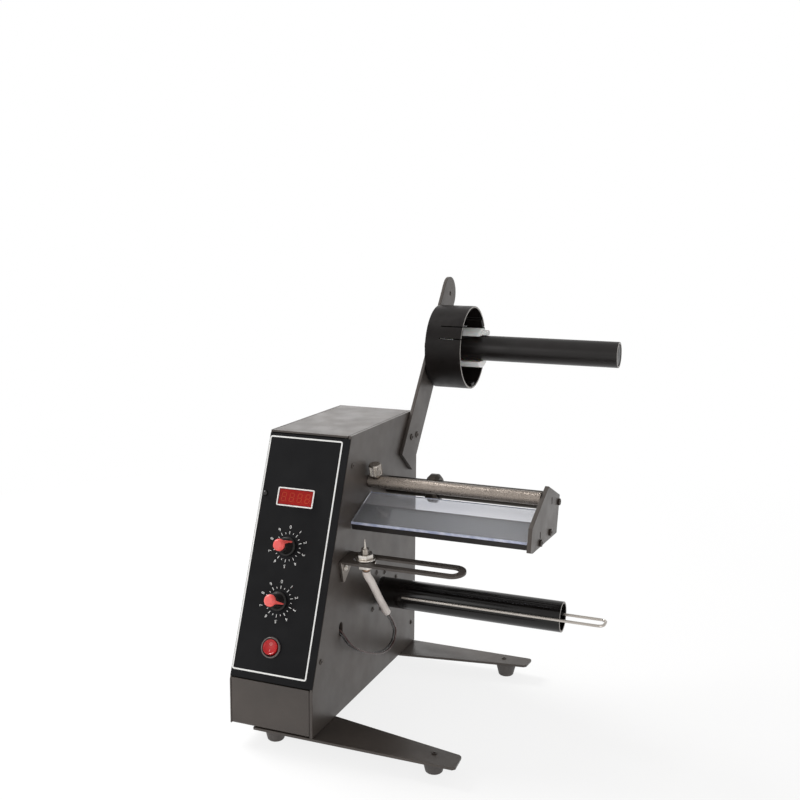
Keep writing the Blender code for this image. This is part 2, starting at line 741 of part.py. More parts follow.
def make_display_board(panel):
    """Counter digits and the reset switch on one small board, held off the panel by two posts."""
    back = -DISPLAY_BOARD_DEPTH
    digits_front = -WINDOW_THICKNESS - GAP
    low_x = INNER_LEFT + 2 * GAP
    high_x = COUNTER_X + COUNTER_WIDTH / 2 + DISPLAY_BOARD_EDGE
    height = COUNTER_HEIGHT + 2 * DISPLAY_BOARD_EDGE
    size = (high_x - low_x, height, BOARD_THICKNESS)
    place = ((low_x + high_x) / 2, COUNTER_V, back - BOARD_THICKNESS / 2)
    board = block("display_board", size, place, "circuit_green", panel)
    sunk = BOARD_THICKNESS / 2
    digits = block(
        "digit_block",
        (COUNTER_WIDTH - 4 * GAP, COUNTER_HEIGHT - 4 * GAP, digits_front - back + sunk),
        (COUNTER_X, COUNTER_V, (digits_front + back - sunk) / 2),
        None,
        panel,
    )
    tact_front = button_rest_bottom() - BUTTON_TRAVEL - GAP
    tact = block(
        "reset_switch",
        (TACT_WIDTH, TACT_WIDTH, tact_front - back + sunk),
        (RESET_X, RESET_V, (tact_front + back - sunk) / 2),
        None,
        panel,
    )
    post_top = PANEL_BACK - GAP
    edge = DISPLAY_BOARD_EDGE / 2
    posts = []
    for side in (-1, 1):
        profile = [
            (0.0, post_top),
            (DISPLAY_POST_RADIUS, post_top),
            (DISPLAY_POST_RADIUS, back - sunk),
            (0.0, back - sunk),
        ]
        place = (high_x - edge, COUNTER_V + side * (height / 2 - edge), 0)
        posts.append(turned(f"display_post_{side}", profile, None, panel, place, segments=SCREW_SEGMENTS))
    combine(board, [digits, tact, *posts], "UNION")


def make_potentiometer(name, v, panel):
    back = PANEL_BACK - GAP
    bush_top = POT_BUSH_LENGTH - OVERLAY_THICKNESS
    shaft_top = KNOB_LIFT + POT_SHAFT_LENGTH
    profile = [
        (0.0, shaft_top),
        (POT_SHAFT_RADIUS, shaft_top),
        (POT_SHAFT_RADIUS, bush_top - POT_BUSH_LENGTH),
        (POT_BUSH_RADIUS, bush_top - POT_BUSH_LENGTH),
        (POT_BUSH_RADIUS, back),
        (POT_RADIUS, back),
        (POT_RADIUS, back - POT_DEPTH),
        (0.0, back - POT_DEPTH),
    ]
    turned(name, profile, "core_grey", panel, (CONTROL_X, v, 0), segments=SMALL_SEGMENTS)


def make_knob(name, v, panel, pointer_degrees):
    """A black pointer knob with its red cap; both turn about the potentiometer's shaft."""
    axis = frame_empty(name + "_axis", (CONTROL_X, v, 0), (0, 0, -math.radians(pointer_degrees)), panel)
    bore = POT_SHAFT_RADIUS + KNOB_BORE_CLEARANCE
    bore_top = KNOB_LIFT + POT_SHAFT_LENGTH + GAP
    top = KNOB_LIFT + KNOB_HEIGHT
    skirt = KNOB_LIFT + KNOB_SKIRT_HEIGHT
    profile = [
        (0.0, top),
        (KNOB_TOP_RADIUS, top),
        (KNOB_SKIRT_RADIUS - POINTER_DEPTH, skirt),
        (KNOB_SKIRT_RADIUS, skirt - GAP),
        (KNOB_SKIRT_RADIUS, KNOB_LIFT),
        (bore, KNOB_LIFT),
        (bore, bore_top),
        (0.0, bore_top),
    ]
    turned(name, profile, "black_plastic", axis, segments=ROUND_SEGMENTS)

    cap_low = top + GAP
    profile = [
        (0.0, cap_low + CAP_HEIGHT),
        (CAP_RADIUS - 2 * CAP_EDGE, cap_low + CAP_HEIGHT),
        (CAP_RADIUS - CAP_EDGE / 2, cap_low + CAP_HEIGHT - CAP_EDGE / 2),
        (CAP_RADIUS, cap_low + CAP_HEIGHT - 2 * CAP_EDGE),
        (CAP_RADIUS, cap_low),
        (0.0, cap_low),
    ]
    cap = turned(name + "_pointer", profile, "red_plastic", axis, segments=SMALL_SEGMENTS)
    slope_low = (KNOB_SKIRT_RADIUS - POINTER_DEPTH + 2 * GAP, skirt + 2 * GAP)
    slope_high = (KNOB_TOP_RADIUS + 2 * GAP, top + GAP)
    fin = [
        (CAP_RADIUS / 2, cap_low),
        slope_high,
        slope_low,
        (slope_low[0] + POINTER_DEPTH, slope_low[1]),
        (slope_high[0] + POINTER_DEPTH, cap_low + CAP_HEIGHT / 2),
        (CAP_RADIUS / 2, cap_low + CAP_HEIGHT / 2),
    ]
    pointer = flat_piece(name + "_fin", [fin], POINTER_WIDTH, None, axis, (0, 0, 0), FACING_X)
    combine(cap, [pointer], "UNION")


def make_switch(panel):
    bottom = -SWITCH_BARREL_LENGTH
    profile = [
        (SWITCH_FLANGE_RADIUS - SWITCH_FLANGE_HEIGHT / 2, GAP + SWITCH_FLANGE_HEIGHT),
        (SWITCH_FLANGE_RADIUS, GAP + SWITCH_FLANGE_HEIGHT / 2),
        (SWITCH_FLANGE_RADIUS, GAP),
        (SWITCH_BARREL_RADIUS, GAP),
        (SWITCH_BARREL_RADIUS, bottom),
        (0.0, bottom),
    ]
    inner = [
        (0.0, -SWITCH_CAVITY_DEPTH),
        (SWITCH_CAVITY_RADIUS, -SWITCH_CAVITY_DEPTH),
        (SWITCH_CAVITY_RADIUS, GAP + SWITCH_FLANGE_HEIGHT),
    ]
    place = (CONTROL_X, SWITCH_V, 0)
    turned("switch_body", inner + profile, "black_plastic", panel, place)

    pivot = frame_empty(
        "rocker_axis",
        (CONTROL_X, SWITCH_V, -ROCKER_PIVOT_DEPTH),
        (-math.radians(ROCKER_TILT_DEGREES), 0, 0),
        panel,
    )
    high = ROCKER_THICKNESS / 2 + ROCKER_PIVOT_DEPTH
    low = high - ROCKER_THICKNESS
    profile = [
        (0.0, high),
        (ROCKER_RADIUS - ROCKER_EDGE, high),
        (ROCKER_RADIUS, high - ROCKER_EDGE),
        (ROCKER_RADIUS, low),
        (0.0, low),
    ]
    turned("switch_rocker", profile, "red_plastic", pivot)


def button_rest_bottom():
    return PANEL_BACK - GAP - BUTTON_COLLAR_HEIGHT


def make_reset_button(panel):
    bottom = button_rest_bottom()
    profile = [
        (0.0, BUTTON_PROUD),
        (BUTTON_RADIUS - GAP, BUTTON_PROUD),
        (BUTTON_RADIUS, BUTTON_PROUD - GAP),
        (BUTTON_RADIUS, PANEL_BACK - GAP),
        (BUTTON_COLLAR_RADIUS, PANEL_BACK - GAP),
        (BUTTON_COLLAR_RADIUS, bottom),
        (0.0, bottom),
    ]
    turned("reset_button", profile, "black_plastic", panel, (RESET_X, RESET_V, 0), segments=SMALL_SEGMENTS)


def board_post_places():
    """Corners of the control board, in (y, z)."""
    half_y = BOARD_DEPTH_SPAN / 2 - POST_INSET
    half_z = BOARD_HEIGHT_SPAN / 2 - POST_INSET
    return [(BOARD_Y + y * half_y, BOARD_Z + z * half_z) for y in (-1, 1) for z in (-1, 1)]


def make_control_board(machine):
    start = INNER_LEFT + GAP
    board_x = start + POST_LENGTH + BOARD_THICKNESS / 2
    size = (BOARD_THICKNESS, BOARD_DEPTH_SPAN, BOARD_HEIGHT_SPAN)
    board = block("control_board", size, (board_x, BOARD_Y, BOARD_Z), "circuit_green", machine)
    face = board_x
    quarter_y = BOARD_DEPTH_SPAN / 4
    quarter_z = BOARD_HEIGHT_SPAN / 4
    relay = block(
        "relay",
        (RELAY_SIZE, RELAY_SIZE, RELAY_SIZE),
        (face + RELAY_SIZE / 2, BOARD_Y - quarter_y, BOARD_Z + quarter_z),
        None,
        machine,
    )
    sink = block(
        "heat_sink",
        (HEAT_SINK_HEIGHT, HEAT_SINK_THICKNESS, BOARD_HEIGHT_SPAN / 2),
        (face + HEAT_SINK_HEIGHT / 2, BOARD_Y + quarter_y, BOARD_Z),
        None,
        machine,
    )
    connector = block(
        "connector",
        (CONNECTOR_HEIGHT, BOARD_DEPTH_SPAN / 3, CONNECTOR_HEIGHT),
        (face + CONNECTOR_HEIGHT / 2, BOARD_Y - quarter_y / 2, BOARD_Z - quarter_z),
        None,
        machine,
    )
    radius = CAPACITOR_RADIUS
    profile = [(0.0, CAPACITOR_HEIGHT), (radius, CAPACITOR_HEIGHT), (radius, 0.0), (0.0, 0.0)]
    place = (face, BOARD_Y, BOARD_Z + quarter_z)
    capacitor = turned("capacitor", profile, None, machine, place, ALONG_X, SMALL_SEGMENTS)
    profile = [(0.0, face), (POST_RADIUS, face), (POST_RADIUS, start), (0.0, start)]
    posts = []
    for index, (y, z) in enumerate(board_post_places()):
        place = (0, y, z)
        posts.append(turned(f"board_post_{index}", profile, None, machine, place, ALONG_X, SCREW_SEGMENTS))
    combine(board, [relay, sink, connector, capacitor, *posts], "UNION")


def make_transformer(machine):
    floor = SHEET + GAP
    foot = block(
        "transformer",
        (TRANSFORMER_FOOT_LENGTH, CORE_DEPTH / 2, TRANSFORMER_FOOT),
        (TRANSFORMER_X, TRANSFORMER_Y, floor + TRANSFORMER_FOOT / 2),
        "core_grey",
        machine,
    )
    core = block(
        "transformer_core",
        (CORE_WIDTH, CORE_DEPTH, CORE_HEIGHT),
        (TRANSFORMER_X, TRANSFORMER_Y, floor + GAP + CORE_HEIGHT / 2),
        None,
        machine,
    )
    coil = block(
        "transformer_coil",
        (CORE_WIDTH - 2 * COIL_INSET, CORE_DEPTH + 2 * COIL_OUTREACH, CORE_HEIGHT - 2 * COIL_INSET),
        (TRANSFORMER_X, TRANSFORMER_Y, floor + GAP + CORE_HEIGHT / 2),
        None,
        machine,
    )
    combine(foot, [core, coil], "UNION")


def make_inlet(machine):
    """Recessed mains inlet with three pins; the lead that plugs in isn't part of the model."""
    outside = BODY_DEPTH + GAP
    flange = block(
        "power_inlet",
        (INLET_FLANGE_WIDTH, INLET_FLANGE_THICKNESS, INLET_FLANGE_HEIGHT),
        (INLET_X, outside + INLET_FLANGE_THICKNESS / 2, INLET_Z),
        "black_plastic",
        machine,
    )
    half = INLET_FLANGE_THICKNESS / 2
    body = block(
        "inlet_body",
        (INLET_BODY_WIDTH, INLET_BODY_DEPTH + half, INLET_BODY_HEIGHT),
        (INLET_X, outside + half - (INLET_BODY_DEPTH + half) / 2, INLET_Z),
        None,
        machine,
    )
    mouth = outside + INLET_FLANGE_THICKNESS
    socket = block(
        "inlet_socket",
        (INLET_SOCKET_WIDTH, INLET_SOCKET_DEPTH + OVERRUN, INLET_SOCKET_HEIGHT),
        (INLET_X, mouth + OVERRUN - (INLET_SOCKET_DEPTH + OVERRUN) / 2, INLET_Z),
        None,
        machine,
    )
    combine(flange, [body], "UNION")
    combine(flange, [socket], "DIFFERENCE")
    pins = []
    floor_y = mouth - INLET_SOCKET_DEPTH
    places = [
        (-INLET_PIN_SPACING, -INLET_PIN_DROP),
        (INLET_PIN_SPACING, -INLET_PIN_DROP),
        (0.0, INLET_EARTH_RISE),
    ]
    for index, (x, z) in enumerate(places):
        length = INLET_PIN_LENGTH + half
        pins.append(
            block(
                f"inlet_pin_{index}",
                (INLET_PIN_WIDTH, length, INLET_PIN_HEIGHT),
                (INLET_X + x, floor_y - half + length / 2, INLET_Z + z),
                None,
                machine,
            )
        )
    combine(flange, pins, "UNION")


def make_gear_motor(machine):
    face = INNER_RIGHT - GAP
    centre = (0.0, TAKE_UP_Y, TAKE_UP_Z)
    bore = DRIVE_SHAFT_RADIUS + GAP
    root = face - DRIVE_SHAFT_ROOT - GAP
    profile = [
        (GEARBOX_BOSS_RADIUS, -GAP),
        (GEARBOX_BOSS_RADIUS, face),
        (GEARBOX_RADIUS, face),
        (GEARBOX_RADIUS, face - GEARBOX_LENGTH),
        (0.0, face - GEARBOX_LENGTH),
    ]
    inner = [(0.0, root), (bore, root), (bore, -GAP)]
    turned("gearbox", inner + profile, "core_grey", machine, centre, ALONG_X)

    start = face - GEARBOX_LENGTH - GAP
    profile = [
        (0.0, start),
        (MOTOR_RADIUS, start),
        (MOTOR_RADIUS, start - MOTOR_LENGTH),
        (MOTOR_TAIL_RADIUS, start - MOTOR_LENGTH),
        (MOTOR_TAIL_RADIUS, start - MOTOR_LENGTH - MOTOR_TAIL_LENGTH),
        (0.0, start - MOTOR_LENGTH - MOTOR_TAIL_LENGTH),
    ]
    turned("motor", profile, "core_grey", machine, centre, ALONG_X)


def make_take_up(machine):
    """Drive shaft, hub and tube turn together; the wire clip slides along the tube."""
    axis = frame_empty("take_up_axis", (0, TAKE_UP_Y, TAKE_UP_Z), ALONG_X, machine)
    root = INNER_RIGHT - GAP - DRIVE_SHAFT_ROOT
    profile = [
        (0.0, DRIVE_SHAFT_REACH),
        (DRIVE_SHAFT_RADIUS, DRIVE_SHAFT_REACH),
        (DRIVE_SHAFT_RADIUS, root),
        (0.0, root),
    ]
    turned("drive_shaft", profile, "steel", axis, segments=SMALL_SEGMENTS)

    bore = DRIVE_SHAFT_RADIUS + GAP
    plug = TUBE_RADIUS - TUBE_WALL - GAP
    hub_end = DRIVE_HUB_START + DRIVE_HUB_LENGTH + GAP
    flange = DRIVE_HUB_START + DRIVE_HUB_FLANGE
    profile = [
        (0.0, DRIVE_SHAFT_REACH + GAP),
        (bore, DRIVE_SHAFT_REACH + GAP),
        (bore, DRIVE_HUB_START),
        (TUBE_RADIUS, DRIVE_HUB_START),
        (TUBE_RADIUS, flange),
        (plug, flange),
        (plug, hub_end + DRIVE_HUB_FLANGE),
        (0.0, hub_end + DRIVE_HUB_FLANGE),
    ]
    turned("drive_hub", profile[::-1], "black_plastic", axis)

    start = flange + GAP
    inner = TUBE_RADIUS - TUBE_WALL
    profile = [(TUBE_RADIUS, TUBE_END_X), (TUBE_RADIUS, start), (inner, start), (inner, TUBE_END_X)]
    turned("take_up_tube", profile, "gloss_black", axis, ring=True)


def make_clip(machine):
    """A hairpin of steel wire, one leg along the tube's front and one inside it."""
    front = TAKE_UP_Y - TUBE_RADIUS - CLIP_WIRE_RADIUS - GAP
    back = front + CLIP_WIDTH
    z = TAKE_UP_Z + CLIP_RISE
    inner_start = DRIVE_HUB_START + DRIVE_HUB_LENGTH + DRIVE_HUB_FLANGE + CLIP_WIRE_RADIUS * 3
    tip = CLIP_END_X - CLIP_WIRE_RADIUS
    centre = tip - CLIP_BEND_RADIUS
    points = [(CLIP_START_X, front, z)]
    corners = [(front + CLIP_BEND_RADIUS, -90), (back - CLIP_BEND_RADIUS, 0)]
    for y, first in corners:
        for n in range(BEND_SEGMENTS // 2 + 1):
            angle = math.radians(first + 180 * n / BEND_SEGMENTS)
            reach, rise = CLIP_BEND_RADIUS * math.cos(angle), CLIP_BEND_RADIUS * math.sin(angle)
            points.append((centre + reach, y + rise, z))
    points.append((inner_start, back, z))
    wire("take_up_clip", points, CLIP_WIRE_RADIUS, "steel", machine)


def wire(name, points, radius, finish, carrier, resolution=2):
    """A round wire or lead along points."""
    curve = bpy.data.curves.new(name, "CURVE")
    curve.dimensions = "3D"
    curve.bevel_depth = radius
    curve.bevel_resolution = resolution
    curve.use_fill_caps = True
    spline = curve.splines.new("POLY")
    spline.points.add(len(points) - 1)
    for point, place in zip(spline.points, points):
        point.co = (*place, 1.0)
    made = add_object(name, curve, finish, carrier)
    made = solid_mesh(made)
    smooth(made)
    return made


def smooth_route(points, spacing):
    """Points at an even spacing along a smooth curve through the route's own points."""
    route = [Vector(point) for point in points]
    ends = [route[0] * 2 - route[1], *route, route[-1] * 2 - route[-2]]
    fine = []
    for before, first, second, after in zip(ends, ends[1:], ends[2:], ends[3:]):
        steps = max(1, math.ceil((second - first).length / spacing))
        for n in range(steps):
            t = n / steps
            fine.append(
                (
                    first * 2
                    + (second - before) * t
                    + (before * 2 - first * 5 + second * 4 - after) * t**2
                    + (first * 3 - before - second * 3 + after) * t**3
                )
                / 2
            )
    fine.append(route[-1])
    return fine


def arm_bolt_places():
    return [(ARM_BOLT_FRONT_Y, ARM_BOLT_Z), (ARM_BOLT_REAR_Y, ARM_BOLT_Z)]


def arm_outline():
    """A leaning flat bar with a round tip and a square foot."""
    half = ARM_WIDTH / 2
    tip = []
    for n in range(2 * BEND_SEGMENTS + 1):
        angle = math.pi * n / (2 * BEND_SEGMENTS)
        point = ARM_TIP + ARM_ACROSS * half * math.cos(angle) + ARM_ALONG * half * math.sin(angle)
        tip.append((point.y, point.z))
    corners = [ARM_FOOT - ARM_ACROSS * half, ARM_FOOT + ARM_ACROSS * half]
    return [*tip, *((corner.y, corner.z) for corner in corners)]


def make_arm(machine):
    holes = [screw_hole(place) for place in arm_bolt_places()]
    holes.append(circle((SPOOL_CENTRE.y, SPOOL_CENTRE.z), AXLE_THREAD_RADIUS + GAP, SMALL_SEGMENTS))
    holes.append(circle((ARM_TIP.y, ARM_TIP.z), ARM_HOLE_RADIUS))
    outlines = [arm_outline(), *holes]
    place = (GAP + ARM_THICKNESS / 2, 0, 0)
    flat_piece("roll_arm", outlines, ARM_THICKNESS, "powder_coat", machine, place, FACING_X)

    face = GAP + ARM_THICKNESS
    shank = face + SIDE_PLATE_THICKNESS + SCREW_HEAD_HEIGHT
    for name, (y, z) in zip(("arm_bolt_front", "arm_bolt_rear"), arm_bolt_places()):
        pan_head_screw(name, (face, y, z), shank, "black_steel", machine)


def make_axle(machine):
    """The fixed axle of the roll holder, its thread clamped through the arm by a nut."""
    centre = (0.0, SPOOL_CENTRE.y, SPOOL_CENTRE.z)
    seat = GAP + ARM_THICKNESS + GAP
    shoulder = DRUM_START_X - GAP
    profile = [
        (0.0, AXLE_END_X),
        (AXLE_RADIUS, AXLE_END_X),
        (AXLE_RADIUS, shoulder),
        (AXLE_SHOULDER_RADIUS, shoulder),
        (AXLE_SHOULDER_RADIUS, seat),
        (AXLE_THREAD_RADIUS, seat),
        (AXLE_THREAD_RADIUS, -AXLE_THREAD_LENGTH),
        (0.0, -AXLE_THREAD_LENGTH),
    ]
    turned("supply_axle", profile, "steel", machine, centre, ALONG_X, SMALL_SEGMENTS)
    outlines = [hexagon(NUT_FLATS), circle((0, 0), AXLE_THREAD_RADIUS + GAP, SMALL_SEGMENTS)]
    place = (-NUT_HEIGHT / 2, SPOOL_CENTRE.y, SPOOL_CENTRE.z)
    flat_piece("axle_nut", outlines, NUT_HEIGHT, "steel", machine, place, ALONG_X)


def make_supply_spool(machine):
    axis = frame_empty("supply_axis", (0, SPOOL_CENTRE.y, SPOOL_CENTRE.z), ALONG_X, machine)
    bore = AXLE_RADIUS + GAP
    inner = DRUM_RADIUS - DRUM_WALL
    web = DRUM_START_X + DRUM_WEB
    profile = [
        (DRUM_RADIUS, DRUM_END_X),
        (DRUM_RADIUS, DRUM_START_X),
        (bore, DRUM_START_X),
        (bore, web),
        (inner, web),
        (inner, DRUM_END_X),
    ]
    segments = ROUND_SEGMENTS + BEND_SEGMENTS
    drum = turned("core_drum", profile, "black_plastic", axis, segments=segments, ring=True)
    slits = []
    length = DRUM_TONGUE_LENGTH + OVERRUN
    size = (DRUM_WALL + 2 * OVERRUN, DRUM_TONGUE_SLIT, length)
    height = DRUM_END_X + OVERRUN - length / 2
    radius = DRUM_RADIUS - DRUM_WALL / 2
    spread = DRUM_TONGUE_WIDTH / 2 / DRUM_RADIUS
    for n in range(DRUM_TONGUE_COUNT):
        middle = math.radians(DRUM_TONGUE_TURN_DEGREES) + n * 2 * math.pi / DRUM_TONGUE_COUNT
        for side, angle in enumerate((middle - spread, middle + spread)):
            place = (radius * math.cos(angle), radius * math.sin(angle), height)
            slits.append(block(f"slit_{n}_{side}", size, place, None, axis, (0, 0, angle)))
    combine(drum, slits, "DIFFERENCE")

    hub_start = web + GAP
    socket = hub_start + HUB_BORE_LENGTH
    socket_radius = SUPPLY_TUBE_RADIUS + GAP
    jaw_start = HUB_END_X - HUB_JAW_LENGTH
    profile = [
        (HUB_RADIUS - HUB_EDGE, HUB_END_X),
        (HUB_RADIUS, HUB_END_X - HUB_EDGE),
        (HUB_RADIUS, jaw_start + HUB_EDGE),
        (HUB_RADIUS - HUB_EDGE, jaw_start),
        (HUB_CORE_RADIUS, jaw_start),
        (HUB_CORE_RADIUS, hub_start),
        (bore, hub_start),
        (bore, socket),
        (socket_radius, socket),
        (socket_radius, HUB_END_X),
    ]
    hub = turned("drum_hub", profile, "white_plastic", axis, ring=True)
    length = HUB_SPLIT_LENGTH + OVERRUN
    size = (2 * socket_radius, 2 * (HUB_RADIUS + OVERRUN), length)
    place = (0, 0, HUB_END_X + OVERRUN - length / 2)
    combine(hub, [block("hub_split", size, place, None, axis)], "DIFFERENCE")
    length = HUB_LUG_LENGTH + HUB_LUG_ROOT
    size = (HUB_LUG_HEIGHT, HUB_LUG_WIDTH, length)
    place = (-(socket_radius + HUB_LUG_HEIGHT / 2), 0, HUB_END_X + HUB_LUG_LENGTH - length / 2)
    combine(hub, [block("hub_lug", size, place, None, axis)], "UNION")

    tube_start = socket + GAP
    inner = SUPPLY_TUBE_RADIUS - SUPPLY_TUBE_WALL
    profile = [
        (SUPPLY_TUBE_RADIUS, SUPPLY_TUBE_END_X),
        (SUPPLY_TUBE_RADIUS, tube_start),
        (inner, tube_start),
        (inner, SUPPLY_TUBE_END_X),
    ]
    turned("supply_tube", profile, "black_steel", axis, ring=True)

    plug = inner - GAP
    cap_start = SUPPLY_TUBE_END_X - TUBE_CAP_LENGTH
    cap_floor = SUPPLY_TUBE_END_X - TUBE_CAP_FACE
    profile = [
        (0.0, SUPPLY_TUBE_END_X),
        (plug, SUPPLY_TUBE_END_X),
        (plug, cap_start),
        (bore, cap_start),
        (bore, cap_floor),
        (0.0, cap_floor),
    ]
    turned("tube_cap", profile, "black_plastic", axis)


def rail_places():
    """Where the spigots of rods and tie bars pass through the side plate, in (y, z)."""
    return [
        (ROD_Y, ROD_Z),
        (GUIDE_ROD_Y, GUIDE_ROD_Z),
        (FRONT_TIE_Y, FRONT_TIE_Z),
        (LOWER_TIE_Y, LOWER_TIE_Z),
    ]


def bar_profile(radius, end, bored=True):
    """A bar riveted into the side plate by its spigot, with a screw hole in its far end if bored."""
    depth = SCREW_REACH + GAP
    hole = SCREW_RADIUS + GAP
    far_end = [(0.0, end - depth), (hole, end - depth), (hole, end)] if bored else [(0.0, end)]
    spigot = [(SPIGOT_RADIUS, GAP), (SPIGOT_RADIUS, INNER_RIGHT), (0.0, INNER_RIGHT)]
    return [*far_end, (radius, end), (radius, GAP), *spigot]


def make_table(machine):
    """Clear peel plate on a black channel, between the side plate and the end plate."""
    table = frame_empty("table_slope", (0, TABLE_FRONT_Y, TABLE_FRONT_Z), (TABLE_SLOPE, 0, 0), machine)
    end = END_PLATE_X - GAP
    width = end - TABLE_START_X
    centre_x = (end + TABLE_START_X) / 2
    size = (width, ACRYLIC_LENGTH, ACRYLIC_THICKNESS)
    place = (centre_x, ACRYLIC_LENGTH / 2, -ACRYLIC_THICKNESS / 2)
    block("peel_plate", size, place, "acrylic", table)

    top = -ACRYLIC_THICKNESS - GAP
    under = top - SUPPORT_THICKNESS
    bar_drop = tie_bar_in_table()
    rib_end = SUPPORT_RIB_Y + SUPPORT_THICKNESS
    channel = [
        (0.0, top),
        (0.0, top - SUPPORT_LIP),
        (SUPPORT_THICKNESS, top - SUPPORT_LIP),
        (SUPPORT_THICKNESS, under),
        (SUPPORT_RIB_Y, under),
        (SUPPORT_RIB_Y, bar_drop),
        (rib_end, bar_drop),
        (rib_end, under),
        (SUPPORT_LENGTH, under),
        (SUPPORT_LENGTH, top),
    ]
    flat_piece("peel_support", [channel], width, "black_steel", table, (centre_x, 0, 0), FACING_X)

    holes = [screw_hole(place) for place in rail_places()[1:]]
    for centre in END_PLATE_SLOTS:
        holes.append(slot_outline(centre, END_PLATE_SLOT_RADIUS, END_PLATE_SLOT_LENGTH, math.pi / 2))
    place = (END_PLATE_X + END_PLATE_THICKNESS / 2, 0, 0)
    outlines = [END_PLATE_OUTLINE, *holes]
    flat_piece("end_plate", outlines, END_PLATE_THICKNESS, "powder_coat", machine, place, FACING_X)
    face = END_PLATE_X + END_PLATE_THICKNESS
    for name, (y, z) in zip(("end_screw_rear", "end_screw_front", "end_screw_lower"), rail_places()[1:]):
        pan_head_screw(name, (face, y, z), END_PLATE_THICKNESS + SCREW_REACH, "black_steel", machine)

    for name, y, z in (
        ("front_tie_bar", FRONT_TIE_Y, FRONT_TIE_Z),
        ("lower_tie_bar", LOWER_TIE_Y, LOWER_TIE_Z),
    ):
        profile = bar_profile(TIE_BAR_RADIUS, end)
        turned(name, profile, "black_steel", machine, (0, y, z), ALONG_X, SMALL_SEGMENTS)



def tie_bar_in_table():
    """Height in the table's own frame at which the rib meets the top of the front tie bar."""
    back = FRONT_TIE_Y - TABLE_FRONT_Y
    up = FRONT_TIE_Z - TABLE_FRONT_Z
    height = up * math.cos(TABLE_SLOPE) - back * math.sin(TABLE_SLOPE)
    return height + TIE_BAR_RADIUS + GAP


def make_knurled_rod(machine):
    """The pressing rod: a bored rod over a stub on the side plate, locked by a thumb screw."""
    centre = (0.0, ROD_Y, ROD_Z)
    profile = bar_profile(ROD_STUB_RADIUS, ROD_STUB_LENGTH, bored=False)
    turned("rod_stub", profile, "steel", machine, centre, ALONG_X, SMALL_SEGMENTS)

    end = END_PLATE_X - GAP
    bore = ROD_STUB_RADIUS + GAP
    profile = [
        (0.0, end),
        (ROD_RADIUS, end),
        (ROD_RADIUS, GAP),
        (bore, GAP),
        (bore, ROD_STUB_LENGTH + GAP),
        (0.0, ROD_STUB_LENGTH + GAP),
    ]
    rod = turned("knurled_rod", profile, "grey_steel", machine, centre, ALONG_X, SMALL_SEGMENTS)
    lean = math.radians(THUMB_LEAN_DEGREES)
    thumb = frame_empty("thumb_axis", (THUMB_X, ROD_Y, ROD_Z), (lean, 0, 0), machine)
    hole = THUMB_THREAD_RADIUS + GAP
    reach = ROD_RADIUS + OVERRUN
    profile = [(0.0, reach), (hole, reach), (hole, 0.0), (0.0, 0.0)]
    cutter = turned("thumb_hole", profile, None, thumb, segments=SCREW_SEGMENTS)
    combine(rod, [cutter], "DIFFERENCE")

    low = ROD_RADIUS + GAP
    high = low + THUMB_HEAD_HEIGHT
    profile = [
        (0.0, high),
        (THUMB_HEAD_RADIUS - THUMB_EDGE, high),
        (THUMB_HEAD_RADIUS, high - THUMB_EDGE),
        (THUMB_HEAD_RADIUS, low + 2 * THUMB_EDGE),
        (THUMB_HEAD_RADIUS - THUMB_EDGE, low),
        (THUMB_THREAD_RADIUS, low),
        (THUMB_THREAD_RADIUS, ROD_STUB_RADIUS + GAP),
        (0.0, ROD_STUB_RADIUS + GAP),
    ]
    turned("thumb_screw", profile, "steel", thumb, segments=SMALL_SEGMENTS)


def make_guide_rod(machine):
    """The thick rod behind the table, with the collar that keeps the labels' edge."""
    centre = (0.0, GUIDE_ROD_Y, GUIDE_ROD_Z)
    profile = bar_profile(GUIDE_ROD_RADIUS, END_PLATE_X - GAP)
    segments = SMALL_SEGMENTS + SCREW_SEGMENTS // 2
    turned("rear_guide_rod", profile, "grey_steel", machine, centre, ALONG_X, segments)

    axis = frame_empty("collar_slide", centre, ALONG_X, machine)
    bore = GUIDE_ROD_RADIUS + GAP
    last = COLLAR_START_X + COLLAR_LENGTH
    profile = [
        (COLLAR_RADIUS - COLLAR_BEVEL, last),
        (COLLAR_RADIUS, last - COLLAR_BEVEL),
        (COLLAR_RADIUS, COLLAR_START_X + COLLAR_BEVEL),
        (COLLAR_RADIUS - COLLAR_BEVEL, COLLAR_START_X),
        (bore, COLLAR_START_X),
        (bore, last),
    ]
    turned("guide_collar", profile, "grey_steel", axis, ring=True)


def bracket_loop():
    """The sensor bracket from above, about its own middle line: a loop with a round end, and its slot."""
    half = BRACKET_WIDTH / 2
    centre_x = BRACKET_END_X - half
    outline = [(GAP, half), (GAP, -half)]
    for n in range(2 * BEND_SEGMENTS + 1):
        angle = -math.pi / 2 + math.pi * n / (2 * BEND_SEGMENTS)
        outline.append((centre_x + half * math.cos(angle), half * math.sin(angle)))
    slot_radius = half - BRACKET_STRIP
    length = BRACKET_END_X - BRACKET_STRIP - BRACKET_SLOT_START_X
    centre = (BRACKET_SLOT_START_X + length / 2, 0.0)
    return [outline, slot_outline(centre, slot_radius, length, 0.0, 2 * BEND_SEGMENTS)]


def make_sensor_bracket(tilt):
    """The slotted strip, bent down at its root into a pointed tab on the side plate."""
    loop = flat_piece("sensor_bracket", bracket_loop(), BRACKET_THICKNESS, "powder_coat", tilt)
    half = BRACKET_TAB_WIDTH / 2
    low = -BRACKET_TAB_LENGTH
    tip_end = BRACKET_TAB_TIP / 2 - BRACKET_TAB_TIP_OFFSET
    tip_start = tip_end - BRACKET_TAB_TIP
    tab = [(-half, 0.0), (half, 0.0), (half, -BRACKET_TAB_SIDE), (tip_end, low), (tip_start, low)]
    place = (GAP + BRACKET_THICKNESS / 2, 0, 0)
    down = flat_piece("bracket_tab", [tab], BRACKET_THICKNESS, None, tilt, place, FACING_X)
    combine(loop, [down], "UNION")


